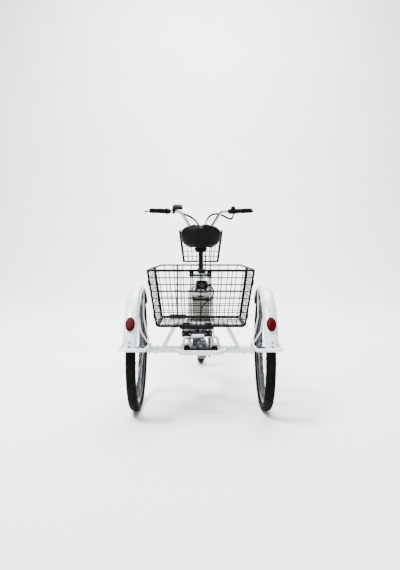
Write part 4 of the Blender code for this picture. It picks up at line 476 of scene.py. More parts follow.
# Half of the tyre's outline from its bead to the middle of its tread: radius, and distance from the middle
tyreHalf = ((0.2603, 0.0112), (0.2632, 0.0158), (0.2685, 0.0208), (0.275, 0.023), (0.2812, 0.0235),
            (0.2868, 0.0228), (0.2905, 0.0214), (0.2913, 0.0204), (0.2948, 0.0182), (0.2956, 0.0168),
            (0.2978, 0.0132), (0.2984, 0.0112), (0.2996, 0.007), (0.2999, 0.005), (0.3002, 0.0016))


def treadCut(step, point, height):  # blocks between slanted cuts, with two grooves running round
    reach = abs(height)
    first = wheel["sidePoints"]  # the outline's points before the tread
    if reach > wheel["treadTo"] or not first <= point < len(tyreHalf) * 2 - first:
        return 0.0
    inGroove = any(near < reach < far for near, far in wheel["grooves"])
    slant = 2 * int(reach / wheel["blockW"]) + (2 if height > 0 else 0)
    return -wheel["treadDepth"] if inGroove or (step + slant) % wheel["blockSteps"] == 0 else 0.0


def makeTyre(name, centre, body):
    shape = bmesh.new()
    profile = list(tyreHalf) + [(r, -x) for r, x in reversed(tyreHalf)]
    profile += [(wheel["beadR"], -wheel["beadHalf"]), (wheel["beadR"], wheel["beadHalf"])]
    turnInto(shape, profile, centre, (1, 0, 0), wheel["tyreSteps"], loop=True, ripple=treadCut)
    makePiece(name + "_tread", shape, [rubber], body, (name,), 50)


def rimInto(shape, centre):
    half, edge, foot = wheel["rimHalf"], wheel["rimEdge"], wheel["rimFoot"]
    profile = [(edge + 0.002, half - 0.0004), (edge + 0.0024, half - 0.0014), (edge + 0.0012, half - 0.0022),
               (edge - 0.003, half - 0.0024), (edge - 0.006, half * 0.45), (edge - 0.007, 0.0)]
    profile += [(r, -x) for r, x in reversed(profile[:-1])]
    profile += [(edge - 0.002, -half - 0.0002), (foot + 0.0062, -half * 0.92), (foot + 0.0028, -half * 0.72),
                (foot, -half * 0.34), (foot, half * 0.34), (foot + 0.0028, half * 0.72),
                (foot + 0.0062, half * 0.92), (edge - 0.002, half + 0.0002)]
    turnInto(shape, profile, centre, (1, 0, 0), 144, loop=True, index=0)


def spokesInto(shape, centre):
    perSide = wheel["spokes"] // 2
    hubR, rimR = wheel["flangeR"] - 0.0038, wheel["rimFoot"] + 0.001
    for side, word in sides:
        for i in range(perSide):
            lean = 1 if i % 2 else -1
            atHub = radians(360 / perSide * i + (10 if side > 0 else 0))
            atRim = atHub + radians(wheel["crossed"]) * lean
            headX = side * (wheel["flangeX"] + 0.0012 * lean)
            head = centre + vec(headX, hubR * cos(atHub), hubR * sin(atHub))
            nipple = centre + vec(side * 0.0035, rimR * cos(atRim), rimR * sin(atRim))
            way = (head - nipple).normalized()
            tubeInto(shape, [head, nipple], wheel["spokeR"], 6, index=1)
            shank, tip = nipple + way * (wheel["nippleL"] - 0.0015), nipple + way * wheel["nippleL"]
            tubeInto(shape, [nipple, shank, tip], [0.0021, 0.0017, 0.0011], 8, index=1)
            ballInto(shape, head + vec(side * 0.0008 * lean, 0, 0), 0.0021, index=1)


def valveInto(shape, centre):  # the tyre valve and its dust cap
    angle = radians(wheel["valveAngle"])
    out = vec(0, -cos(angle), -sin(angle))
    foot = centre + out * (wheel["rimFoot"] + 0.001)
    tubeInto(shape, [foot, foot - out * 0.02], 0.003, 12, index=3)
    cap = [foot - out * reach for reach in (0.018, 0.032, 0.034)]
    tubeInto(shape, cap, [0.004, 0.004, 0.0026], 12, index=3)


def flangeProfile(half, body):  # a hub shell between its two spoke flanges
    flangeR, flangeX = wheel["flangeR"], wheel["flangeX"]
    right = [(body, half), (body, flangeX + 0.0052), (body + 0.003, flangeX + 0.0028),
             (flangeR - 0.0012, flangeX + 0.0018), (flangeR, flangeX + 0.0008), (flangeR, flangeX - 0.0008),
             (flangeR - 0.0012, flangeX - 0.0018), (body + 0.0035, flangeX - 0.003), (body, flangeX - 0.0065)]
    return right + [(r, -x) for r, x in reversed(right)]


def rearHubInto(shape, centre, side):
    shaft, half = wheel["shaftR"], 0.0358
    inner = 0.0503 - wheelX  # where the stub shaft ends, seen from the wheel
    profile = [(0.0, 0.0445), (0.0068, 0.0445), (0.0085, 0.043), (0.0085, 0.0365), (0.014, half + 0.0004)]
    profile += flangeProfile(half, wheel["hubR"])
    profile += [(0.013, -half - 0.0004), (shaft + 0.0022, -0.04), (shaft, -0.0402), (shaft, inner),
                (0.0, inner)]
    turnInto(shape, profile, centre, (side, 0, 0), 48, index=2)
    boltInto(shape, centre + vec(side * (half + 0.0004), 0, 0), (side, 0, 0), 0.019, 0.0085)


def frontHubInto(shape, centre):  # the shell with its brake drum on the left
    flangeR, flangeX, body = wheel["flangeR"], wheel["flangeX"], wheel["hubR"]
    half, drum = wheel["frontHalf"], wheel["drumR"]
    profile = [(0.0055, half - 0.004), (body * 0.72, half - 0.004), (body * 0.8, half - 0.006),
               (body * 0.8, flangeX + 0.004), (flangeR - 0.001, flangeX + 0.0022),
               (flangeR, flangeX + 0.001), (flangeR, flangeX - 0.001), (flangeR - 0.001, flangeX - 0.0022),
               (body, flangeX - 0.005), (body, -0.01), (drum - 0.006, -0.014), (drum - 0.001, -0.0155),
               (drum, -0.017), (drum, -0.0225), (drum - 0.0012, -0.0232), (drum - 0.0012, -0.0262),
               (drum, -0.027), (drum, -flangeX - 0.0088), (0.0055, -flangeX - 0.0088)]
    turnInto(shape, profile, centre, (-1, 0, 0), 60, loop=True, index=2)


def makeWheel(name, centre, body, side, hub):
    ending = "_" + side if side else ""
    makeTyre(name + "_tyre" + ending, centre, body)
    shape = bmesh.new()
    rimInto(shape, centre)
    spokesInto(shape, centre)
    valveInto(shape, centre)
    hub(shape, centre)
    node = name + "_rim" + ending
    makePiece(node + "_laced", shape, [shadedHoop, zinc, alloy, plastic], body, (node,), 35)


for side, word in sides:
    rearHub = rear(side * wheelX, 0, axleZ)
    makeWheel("rear", rearHub, "rear_wheel_" + word, word,
              lambda shape, centre, side=side: rearHubInto(shape, centre, side))
makeWheel("front", frontHub, "front_wheel", "", frontHubInto)
print("wheels laced")


# Mudguards and reflectors

fender = {"reach": 0.328, "width": 0.062, "drop": 0.022, "sag": 0.006, "curlFrom": 0.74, "thick": 0.0014,
          "bead": 0.0017, "rearSpan": (10, 140), "frontSpan": (50, 160), "footX": 0.264, "rearStayR": 0.0035,
          "frontStayR": 0.0025, "screwAngles": (12.2, 15.4), "screwR": 0.0044}
reflector = {"angle": 30, "reach": 0.3284, "halfW": 0.0222, "halfH": 0.0345, "points": 40}
stayReach = fender["reach"] - fender["drop"] + 0.003


# Across the blade u runs from -1 to 1. Its middle only bows, and its edges curl down to the full drop
def fenderPoint(u, angle, backward, narrow):
    bow, curlFrom, sag = abs(u), fender["curlFrom"], fender["sag"]
    if bow < curlFrom:
        drop = sag * (bow / curlFrom) ** 2
    else:
        drop = sag + (fender["drop"] - sag) * ((bow - curlFrom) / (1 - curlFrom)) ** 1.15
    r = fender["reach"] - drop * (0.45 + 0.55 * narrow)
    x = u * fender["width"] / 2 * (0.62 + 0.38 * narrow)
    return vec(x, -backward * r * cos(angle), r * sin(angle))


# The blade between two angles, narrowed at its ends, with rolled edges
def fenderInto(shape, centre, span, backward):
    start, stop = span
    rows, across = int((stop - start) / 2), 20
    grid, edges = [], ([], [])
    for i in range(rows + 1):
        angle = start + (stop - start) * i / rows
        near = min(angle - start, stop - angle) / 10.0
        narrow = sqrt(max(0.0, 1 - (1 - min(near, 1.0)) ** 2))
        points = [centre + fenderPoint(-1 + 2 * j / across, radians(angle), backward, narrow)
                  for j in range(across + 1)]
        edges[0].append(points[0])
        edges[1].append(points[-1])
        inner = [centre + (p - centre) * (1 - fender["thick"] / fender["reach"]) for p in points]
        grid.append([shape.verts.new(p) for p in points + list(reversed(inner))])
    spanRings(shape, grid, 0)
    shape.faces.ensure_lookup_table()
    made = len(shape.faces) - rows * 2 * (across + 1)
    for n in range(rows * 2 * (across + 1)):  # the faces that look at the wheel, given the painted shade
        if across < n % (2 * (across + 1)) <= 2 * across:
            shape.faces[made + n].material_index = 2
    shape.faces.new(list(reversed(grid[0])))
    shape.faces.new(grid[-1])
    for edge in edges:
        tubeInto(shape, edge, fender["bead"], 10)


def makeRearFender(side, word):
    centre = rear(side * wheelX, 0, axleZ)
    shape = bmesh.new()
    fenderInto(shape, centre, fender["rearSpan"], 1)
    inner = side * (wheelX - fender["width"] / 2 + 0.0008)
    footX = side * fender["footX"]
    for angle, back in ((92, 0.0), (40, 0.03)):
        top = rear(inner, stayReach * cos(radians(angle)), axleZ + stayReach * sin(radians(angle)))
        foot = rear(footX, back, axleZ + 0.046 - back * 0.3)
        knee = foot.lerp(top, 0.45)
        knee.x = inner
        tubeInto(shape, rounded([foot, knee, top], 0.05, 8), fender["rearStayR"])
        boltInto(shape, top + vec(-side * 0.003, 0, -0.004), (-side, 0, 0), 0.008, 0.003)
    for size, back, z in (((0.003, 0.062, 0.022), 0.01, 0.042), ((0.003, 0.02, 0.034), 0.0, 0.034)):
        boxInto(shape, size, rear(footX, back, axleZ + z), 0.0012)
    for back in (-0.014, 0.034):
        boltInto(shape, rear(footX + side * 0.0015, back, axleZ + 0.042), (side, 0, 0), 0.008, 0.003)
    for angle in fender["screwAngles"]:  # the two screws under the reflector
        out = vec(0, -cos(radians(angle)), sin(radians(angle)))
        at = centre + out * (fender["reach"] - 0.0008) + vec(side * 0.0005, 0, 0)
        ballInto(shape, at, fender["screwR"], (1, 1, 0.5), 1, along(out))
    makePiece("rear_fender_" + word + "_pressed", shape, [enamel, zinc, insideShade], "frame",
              ("rear_fender_" + word,), 50)


def makeReflector(side, word):
    angle = radians(reflector["angle"])
    out = vec(0, -cos(angle), sin(angle))
    at = rear(side * wheelX, 0, axleZ) + out * reflector["reach"]
    turn = facing((1, 0, 0), (0, sin(angle), cos(angle)), at)
    shape = bmesh.new()

    def oval(height, share):
        halfW, halfH = reflector["halfW"], reflector["halfH"]
        return [shape.verts.new(turn @ vec(halfW * x, halfH * y, height))
                for x, y in circle(share, reflector["points"])]

    case = [oval(*level) for level in ((0.0, 0.72), (0.0008, 0.96), (0.006, 1.0), (0.0074, 0.97),
                                       (0.0074, 0.88), (0.0062, 0.87))]
    spanRings(shape, case, 1)
    shape.faces.new(list(reversed(case[0]))).material_index = 1
    dome = [oval(*level) for level in ((0.0062, 0.87), (0.0078, 0.84), (0.0092, 0.62), (0.0097, 0.34))]
    dome.append([shape.verts.new(turn @ vec(0, 0, 0.0099))])
    spanRings(shape, dome, 0)
    makePiece("reflector_" + word + "_lens", shape, [lens, plastic], "frame", ("reflector_" + word,),
              50)


def makeFrontFender():
    shape = bmesh.new()
    fenderInto(shape, frontHub, fender["frontSpan"], -1)
    stayAngle = radians(150)
    for side, word in sides:
        inner = side * (fender["width"] / 2 - 0.0008)
        top = frontHub + vec(inner, stayReach * cos(stayAngle), stayReach * sin(stayAngle))
        foot = frontHub + vec(side * 0.055, -0.024, 0.0)
        tubeInto(shape, rounded([foot, foot.lerp(top, 0.3), top], 0.04, 6), fender["frontStayR"], 12)
        boltInto(shape, top + vec(side * 0.002, 0, 0), (side, 0, 0), 0.0075, 0.003)
    makePiece("front_fender_pressed", shape, [enamel, zinc, insideShade], "steering", ("front_fender",),
              50)


for side, word in sides:
    makeRearFender(side, word)
    makeReflector(side, word)
makeFrontFender()
print("mudguards pressed")


# Rear frame, basket arch and wheel guards

axle = {"housingR": 0.018, "bore": 0.012, "housingIn": 0.085, "housingOut": 0.266, "collarX": 0.222,
        "collarR": 0.0215, "collarW": 0.012, "yokeY": 0.15, "yokeX": 0.1, "yokeR": 0.013, "yokeDrop": 0.005,
        "bumperR": 0.0116, "bumperY": 0.14, "archR": 0.0104, "archPad": 0.002, "strutTop": 0.068,
        "strutR": 0.008}
flange = {"half": 0.03, "corner": 0.022, "thick": 0.006, "ahead": 0.162}
guard = {"x": 0.06, "footY": 0.15, "ahead": 0.195, "topZ": 0.607, "rodZ": 0.562, "tubeR": 0.01}
guardTop = rear(0, -guard["ahead"], guard["topZ"])
archTop = layout["basketFloorZ"] - axle["archPad"] - gap - axle["archR"]


def flangeInto(shape, ahead):  # the square plate with cut corners that joins the rear frame to the main frame
    half, corner = flange["half"], flange["corner"]
    quarter = [(half, corner), (corner, half)]
    outline = quarter + [(-x, y) for x, y in reversed(quarter)]
    outline += [(-x, -y) for x, y in outline]
    turn = facing((1, 0, 0), (0, 0, 1), rear(0, -ahead, axleZ - axle["yokeDrop"]))
    plateInto(shape, [outline], flange["thick"], turn)


def yokePath():
    x, ahead, low = axle["yokeX"], axle["yokeY"], axleZ - axle["yokeDrop"]
    return rounded([rear(-x, 0, axleZ), rear(-x, -ahead, low), rear(x, -ahead, low), rear(x, 0, axleZ)],
                   0.04, 10)


def makeRearFrame():
    shape = bmesh.new()
    out, inner, r = axle["housingOut"], axle["housingIn"], axle["housingR"]
    collarR, half = axle["collarR"], axle["collarW"] / 2
    for side, word in sides:
        turnInto(shape, [(axle["bore"], out), (r, out), (r, inner), (axle["bore"], inner)], rearAxle,
                 (side, 0, 0), 40, loop=True)
        for x in (axle["collarX"], out - half):
            sleeveInto(shape, r - 0.0002, collarR, (x - half, x + half), (0.001, 0.001), rearAxle,
                       (side, 0, 0))
            boltInto(shape, rear(side * x, 0, axleZ - collarR + 0.0008), (0, 0, -1), 0.008, 0.004)
        for x, back, up, way, beadR in ((axle["yokeX"], -0.018, -0.001, (0, 1, 0), axle["yokeR"] + 0.0006),
                                        (0.094, 0, 0.0185, (0, 0, 1), axle["strutR"] + 0.0006),
                                        (0.1225, 0.0175, 0.001, (0, -1, 0), 0.0108),
                                        (guard["x"], -0.152, 0.0125, (0, 0, 1), guard["tubeR"] + 0.0006)):
            weldInto(shape, rear(side * x, back, axleZ + up), way, beadR)
    tubeInto(shape, yokePath(), axle["yokeR"], 24)
    struts = [rear(-0.095, 0, axleZ), rear(-0.082, 0, axleZ + axle["strutTop"]),
              rear(0.082, 0, axleZ + axle["strutTop"]), rear(0.095, 0, axleZ)]
    tubeInto(shape, rounded(struts, 0.028, 10), axle["strutR"], 18)
    bumper = [rear(-0.126, 0, axleZ), rear(-0.098, axle["bumperY"], axleZ + 0.008),
              rear(0.098, axle["bumperY"], axleZ + 0.008), rear(0.126, 0, axleZ)]
    tubeInto(shape, rounded(bumper, 0.045, 14), axle["bumperR"], 24)
    x, foot = guard["x"], guard["footY"]
    loop = [rear(-x, -foot, axleZ), guardTop - vec(x, 0, 0), guardTop + vec(x, 0, 0), rear(x, -foot, axleZ)]
    tubeInto(shape, rounded(loop, 0.035, 12), guard["tubeR"], 22)
    share = (guard["rodZ"] - axleZ) / (guard["topZ"] - axleZ)
    rodY = foot + (guard["ahead"] - foot) * share
    rodInto(shape, rear(-x, -rodY, guard["rodZ"]), rear(x, -rodY, guard["rodZ"]), 0.005, 16)
    flangeInto(shape, flange["ahead"])
    corner = flange["corner"]
    for x in (-corner, corner):
        for z in (-corner, corner):
            at = rear(x, 0.003 - flange["ahead"], axleZ - axle["yokeDrop"] + z)
            boltInto(shape, at, (0, -1, 0), 0.01, 0.005)
    makePiece("rear_frame_welded", shape, [enamel, zinc], "frame", ("rear_frame",), 35)


def makeCradle():  # the two bearing blocks on the housings and the bar that ties them
    shape = bmesh.new()
    wide, deep, high = 0.03, 0.056, 0.038
    x = axle["housingIn"] - gap - wide / 2
    for side, word in sides:
        boxInto(shape, (wide, deep, high), rear(side * x, 0.006, axleZ + 0.002), 0.004)
        turnInto(shape, [(0.0086, 0.0), (0.015, 0.0), (0.0158, -0.001), (0.0158, -0.004), (0.0086, -0.004)],
                 rear(side * (x - 0.0185), 0, axleZ), (-side, 0, 0), 36, loop=True, index=1)
        for back in (-0.016, 0.028):
            boltInto(shape, rear(side * x, back, axleZ + 0.002 - high / 2), (0, 0, -1), 0.01, 0.005)
    bar = [rear(-x, 0.015, axleZ + 0.004), rear(-x, 0.059, axleZ + 0.006), rear(x, 0.059, axleZ + 0.006),
           rear(x, 0.015, axleZ + 0.004)]
    tubeInto(shape, rounded(bar, 0.015, 8), 0.0055, 16)
    makePiece("axle_cradle_cast", shape, [oxide, zinc], "frame", ("axle_cradle",), 40)


def makeArch():  # the bent tube that carries the basket
    arch = rounded([rear(-0.185, 0, axleZ + 0.017), rear(-0.125, 0.06, archTop), rear(0.125, 0.06, archTop),
                    rear(0.185, 0, axleZ + 0.017)], 0.03, 12)
    shape = bmesh.new()
    tubeInto(shape, arch, axle["archR"], 22)
    for side, word in sides:
        weldInto(shape, rear(side * 0.1838, 0.0012, axleZ + 0.0192), arch[0] - arch[1], 0.0096)
    makePiece("basket_support_arch_bent", shape, [enamel], "frame", ("basket_support_arch",))


def makeClamps():  # the two clamps that hold the basket's floor on the arch, and the bar between them
    shape = bmesh.new()
    boxInto(shape, (0.17, 0.022, 0.01), rear(-0.02, 0.06, archTop - 0.019), 0.002)
    for x, wide in ((-0.07, 0.058), (0.036, 0.048)):
        for share, high, low in ((0.7, 0.009, -0.006), (0.86, -0.034, -0.059)):
            at = rear(x, 0.06, archTop + (high + low) / 2)
            boxInto(shape, (wide * share, 0.034, high - low), at, 0.003, segments=3)
        for side, word in sides:
            stud = rear(x + side * wide * 0.28, 0.06, archTop)
            rodInto(shape, stud - vec(0, 0, 0.004), stud - vec(0, 0, 0.036), 0.0042, 16, index=1)
            boltInto(shape, stud - vec(0, 0, 0.0585), (0, 0, -1), 0.009, 0.005)
            boltInto(shape, stud + vec(0, -0.0168, -0.046), (0, -1, 0), 0.008, 0.004)
    makePiece("basket_clamps_moulded", shape, [plastic, zinc], "frame", ("basket_clamp_bar",))


def makeWheelGuard(side, word):  # the loop that runs round behind the wheel
    rise = axleZ + 0.06
    path = rounded([rear(side * 0.266, 0.03, axleZ + 0.02), rear(side * 0.248, 0.352, rise),
                    rear(side * 0.3625, 0.352, rise), rear(side * 0.3625, 0.227, rise + 0.004)], 0.026, 12)
    shape = bmesh.new()
    tubeInto(shape, path, 0.0075, 20)
    ballInto(shape, path[-1], 0.0075, (1, 0.7, 1))
    boxInto(shape, (0.008, 0.05, 0.014), rear(side * 0.256, 0.02, axleZ + 0.0275), 0.002)
    for back in (0.008, 0.032):
        boltInto(shape, rear(side * 0.252, back, axleZ + 0.0275), (-side, 0, 0), 0.008, 0.0036)
    makePiece("wheel_guard_" + word + "_bent", shape, [enamel, zinc], "frame", ("wheel_guard_" + word,))


makeRearFrame()
makeCradle()
makeArch()
makeClamps()
for side, word in sides:
    makeWheelGuard(side, word)
print("rear frame built")


# Rear basket

basket = {"floorZ": layout["basketFloorZ"], "topZ": 0.716, "backTop": 0.3, "backFloor": 0.24, "front": -0.1,
          "topW": 0.49, "floorW": 0.414, "lift": 0.011, "edgeR": 0.0044, "wireR": 0.0022,
          "sideWireR": 0.0017, "postX": -0.1225, "postR": 0.004, "seam": 0.0023, "clipZ": (0.5, 0.655),
          "clipL": 0.026}


# A woven panel in its own frame: a rim, then wires up and across it, from the middle of its foot
def meshPanelInto(shape, foot, across, up, footW, topW, columns, rows, skew=0.0, shoulder=0.0, layer=0.0,
                  edgeR=basket["edgeR"], wireR=basket["wireR"]):
    across = Vector(across).normalized()
    up = Vector(up)
    height = up.length
    up.normalize()
    out = across.cross(up)

    def at(x, y, off=0.0):
        return Vector(foot) + across * (x + skew * y / height) + up * y + out * off

    def halfAt(y):
        return (footW + (topW - footW) * y / height) / 2 - edgeR

    low, high = edgeR, height - edgeR
    if shoulder:  # the rim drops to lower corners
        right = [(halfAt(low), low), (halfAt(high - shoulder), high - shoulder),
                 (halfAt(high) - 3 * shoulder, high)]
    else:
        right = [(halfAt(low), low), (halfAt(high), high)]
    corners = [at(-right[0][0], low)] + [at(x, y) for x, y in right]
    corners += [at(-x, y) for x, y in reversed(right[1:])]
    middle = (corners[0] + corners[1]) / 2
    outline = rounded([middle] + corners[1:] + [corners[0], middle], 0.01, 6)[:-1]
    tubeInto(shape, outline, edgeR, 12, loop=True)

    def topAt(x):
        if not shoulder:
            return high
        over = abs(x) - (halfAt(high) - 3 * shoulder)
        return high - max(0.0, over) / 3

    for i in range(1, columns):
        u = -1 + 2 * i / columns
        topX = u * halfAt(high)
        tubeInto(shape, [at(u * halfAt(low), low, layer), at(topX, topAt(topX), layer)], wireR, 8)
    for j in range(1, rows):
        y = low + (high - low) * j / rows
        reach = halfAt(y)
        tubeInto(shape, [at(-reach, y, layer + 1.6 * wireR), at(reach, y, layer + 1.6 * wireR)], wireR, 8)


def makeRearBasket():
    floorZ, topZ, lift = basket["floorZ"], basket["topZ"], basket["lift"]
    back, front, seam = basket["backFloor"], basket["front"], basket["seam"]
    rise, lean = topZ - floorZ, basket["backTop"] - back
    flare = (basket["topW"] - basket["floorW"]) / 2
    shape = bmesh.new()
    meshPanelInto(shape, rear(0, back, floorZ), (1, 0, 0), (0, -lean, rise), basket["floorW"],
                  basket["topW"], 10, 8)
    makePiece("basket_back_mesh", shape, [wire], "frame", ("rear_basket_back",))
    shape = bmesh.new()
    meshPanelInto(shape, rear(0, front, floorZ), (1, 0, 0), (0, 0, rise + lift), basket["floorW"],
                  basket["topW"], 10, 8, shoulder=lift, layer=-0.0016)
    postX = basket["postX"]
    rodInto(shape, rear(postX, front, floorZ + 0.004), rear(postX, front, topZ + lift - 0.004),
            basket["postR"], 14)
    makePiece("basket_front_mesh", shape, [wire], "frame", ("rear_basket_front",))
    for side, word in sides:
        footW = back - front - 2 * seam - 0.001
        topW = footW + lean
        shape = bmesh.new()
        meshPanelInto(shape, rear(side * (basket["floorW"] / 2 - 0.002), (back + front) / 2, floorZ),
                      (0, 1, 0), (side * flare, 0, rise), footW, topW, 7, 8, skew=(footW - topW) / 2,
                      layer=0.0008 * side, wireR=basket["sideWireR"])
        makePiece("basket_" + word + "_mesh", shape, [wire], "frame", ("rear_basket_" + word,))
    floorW = basket["floorW"] - 2 * seam - 0.0045
    floorL = back - front - 2 * seam - 0.0015
    shape = bmesh.new()
    meshPanelInto(shape, rear(0, back - seam - 0.001, floorZ), (1, 0, 0), (0, floorL, 0), floorW, floorW,
                  9, 7)
    makePiece("basket_floor_mesh", shape, [wire], "frame", ("rear_basket_floor",))


def makeCornerClips():  # the snap clips that hold the panels together at the corners
    rise = basket["topZ"] - basket["floorZ"]
    flare = (basket["topW"] - basket["floorW"]) / 2
    lean = basket["backTop"] - basket["backFloor"]
    reach = basket["clipL"] / rise
    shape = bmesh.new()
    for side, word in sides:
        for back, leanHere in ((basket["front"], 0.0), (basket["backFloor"], lean)):
            for z in basket["clipZ"]:
                share = (z - basket["floorZ"]) / rise
                x = side * (basket["floorW"] / 2 + flare * share - 0.0035)
                low = rear(x, back + leanHere * share, z - basket["clipL"] / 2)
                high = rear(x + side * flare * reach, back + leanHere * (share + reach),
                            z + basket["clipL"] / 2)
                path = [low, low.lerp(high, 0.08), low.lerp(high, 0.92), high]
                tubeInto(shape, path, [0.0048, 0.006, 0.006, 0.0048], 16)
    makePiece("basket_corner_clips", shape, [plastic], "frame", ())


makeRearBasket()
makeCornerClips()
print("rear basket woven")


# Main frame

mainFrame = {"tubeR": 0.022, "bend": 0.13, "seatTubeR": 0.017, "seatTubeTop": 0.69, "shellR": 0.0205,
             "shellHalf": 0.034, "rearTubeR": 0.019, "braceR": 0.011, "headFrom": 0.388, "headL": 0.127}


def makeMainFrame():
    shape = bmesh.new()
    low = bracketAt + vec(0, 0.15, 0.012)
    bend = vec(0, frontY - fender["reach"] - 0.092, axleZ + 0.155)
    mainTube = rounded([bracketAt, low, bend, steer(0, -0.004, 0.4515)], mainFrame["bend"], 14)
    tubeInto(shape, mainTube, mainFrame["tubeR"], 32)
    top, seatR = seatLine(mainFrame["seatTubeTop"]), mainFrame["seatTubeR"]
    tubeInto(shape, [bracketAt, top - seatUp * 0.001, top], [seatR, seatR, seatR - 0.0006], 32)
    half, shellR, bore = mainFrame["shellHalf"], mainFrame["shellR"], 0.0086
    sleeveInto(shape, bore, shellR, (-half, half), (0.0013, 0.0012), bracketAt, (1, 0, 0), 48)
    for side, word in sides:  # the bearing cups
        turnInto(shape, [(bore, 0.0342), (0.0178, 0.0342), (0.0178, 0.0366), (0.0165, 0.0372),
                         (bore, 0.0372)], bracketAt, (side, 0, 0), 40, loop=True, index=1)
    headL = mainFrame["headL"]
    foot = [(0.0128, 0.0), (0.02, 0.0), (0.0206, 0.001), (0.0206, 0.008), (0.019, 0.0095)]
    turnInto(shape, foot + [(r, headL - height) for r, height in reversed(foot)],
             steer(0, 0, mainFrame["headFrom"]), headUp, 48, loop=True)
    plateAhead = flange["ahead"] + flange["thick"] + gap
    plateAt = rear(0, -plateAhead, axleZ - axle["yokeDrop"])
    rodInto(shape, bracketAt, plateAt, mainFrame["rearTubeR"], 32)
    flangeInto(shape, plateAhead)
    brace = rounded([seatLine(0.435), bracketAt + vec(0, 0.12, 0.07), low], 0.08, 12)
    tubeInto(shape, brace, mainFrame["braceR"], 22)
    for at, way, beadR in ((seatLine(bracketAt.z + 0.0225), seatUp, seatR + 0.0008),
                           (plateAt + vec(0, 0.0035, 0), (0, 1, 0), mainFrame["rearTubeR"] + 0.0006),
                           (bracketAt + vec(0, 0.02, 0.0016), (0, 1, 0.08), 0.0216),
                           (bracketAt + vec(0, -0.02, 0), (0, 1, 0), mainFrame["rearTubeR"]),
                           (steer(0, -0.0195, 0.449), mainTube[-2] - mainTube[-1], 0.0216)):
        weldInto(shape, at, way, beadR)
    makePiece("main_frame_welded", shape, [enamel, zinc], "frame", ("main_frame",), 35)


makeMainFrame()
print("main frame built")


# Saddle

saddle = {"length": 0.262, "width": 0.238, "nose": 0.052, "top": 0.932, "base": 0.858, "back": -0.408,
          "skirt": 0.822, "hollow": 0.62, "voxel": 0.0045, "pressure": 4.0, "cap": 0.0055, "simFrames": 20,
          "springX": 0.052, "springBack": 0.052, "springR": 0.015, "springWireR": 0.0022, "springTurns": 3,
          "barZ": 0.82, "postTop": 0.812, "rivetX": 0.05, "rivetZ": 0.87}


def saddleHalf(t):  # half width along the saddle, 0 at the back and 1 at the nose
    back = sqrt(max(0.0, 1 - (1 - min(t, 0.22) / 0.22) ** 2))
    taper = 1 / (1 + ((t - 0.1) / 0.42) ** 4) if t > 0.1 else 1.0
    nose = sqrt(max(0.0, 1 - max(0.0, (t - 0.88) / 0.12) ** 2))
    wings = (saddle["width"] - saddle["nose"]) / 2 * taper * (1 - 0.25 * t)
    return (saddle["nose"] / 2 + wings) * back * nose


def saddleSurface(t, angle, shrink):  # the cover at an angle round its section, sunk by so much
    half = max(saddleHalf(t) - shrink, 0.0012)
    top = saddle["top"] + 0.013 - 0.018 * t - 0.01 * sin(pi * t) - shrink
    low = saddle["skirt"] - 0.012 + 0.026 * t
    x = abs(cos(angle)) ** 0.5 * (1 if cos(angle) > 0 else -1)
    z = abs(sin(angle)) ** 0.62 * (1 if sin(angle) > 0 else -1)
    dip = 0.009 * (0.5 + 0.5 * cos(pi * min(1.0, abs(x) / 0.34))) * max(z, 0.0) * (1 - t)
    pull = 1 - 0.14 * max(0.0, -z)
    return vec(x * half * pull, saddle["back"] + shrink + (saddle["length"] - 2 * shrink) * t,
               low + (top - low) * (0.5 + 0.5 * z) - dip)


# The cover from one lower edge over the top to the other, then the hollow for the springs
def saddleSection(t):
    points = [saddleSurface(t, radians(-50 + 280 * j / 36), 0.004) for j in range(37)]
    half = max(saddleHalf(t) - 0.004, 0.0012) * saddle["hollow"]
    low = points[0].z
    ceiling = max(saddle["base"] + 0.0015, low) if 0.07 < t < 0.9 else low
    y = points[0].y
    walls = [(-half, low), (-half, (low + ceiling) / 2), (-half, ceiling), (-half * 0.5, ceiling),
             (0.0, ceiling)]
    return points + [vec(x, y, z) for x, z in walls + [(-x, z) for x, z in reversed(walls[:-1])]]


def inflate(piece, floorZ):  # the foam pressing out against its cover
    start = [v.co.copy() for v in piece.data.vertices]
    held = []
    for vertex in piece.data.vertices:
        t = (vertex.co.y - saddle["back"]) / saddle["length"]
        inside = abs(vertex.co.x) < saddleHalf(min(max(t, 0.0), 1.0)) * (saddle["hollow"] + 0.04)
        if vertex.co.z < floorZ or (inside and vertex.co.z < saddle["base"] + 0.006):
            held.append(vertex.index)
    hold = piece.vertex_groups.new(name="hold")
    hold.add(held, 1.0, "REPLACE")
    cloth = piece.modifiers.new("cover", "CLOTH")
    cloth.settings.use_pressure = True
    cloth.settings.uniform_pressure_force = saddle["pressure"]
    cloth.settings.vertex_group_mass = "hold"
    cloth.settings.effector_weights.gravity = 0.0
    cloth.point_cache.frame_start = 1
    cloth.point_cache.frame_end = saddle["simFrames"]
    scene = bpy.context.scene
    for step in range(saddle["simFrames"]):
        scene.frame_set(step + 1)
    graph = bpy.context.evaluated_depsgraph_get()
    moved = bpy.data.meshes.new_from_object(piece.evaluated_get(graph))
    for vertex, other, home in zip(piece.data.vertices, moved.vertices, start):
        shift = other.co - home
        if shift.length > saddle["cap"]:
            shift *= saddle["cap"] / shift.length
        vertex.co = home + shift
    piece.modifiers.remove(cloth)
    scene.frame_set(1)
    bpy.data.meshes.remove(moved)


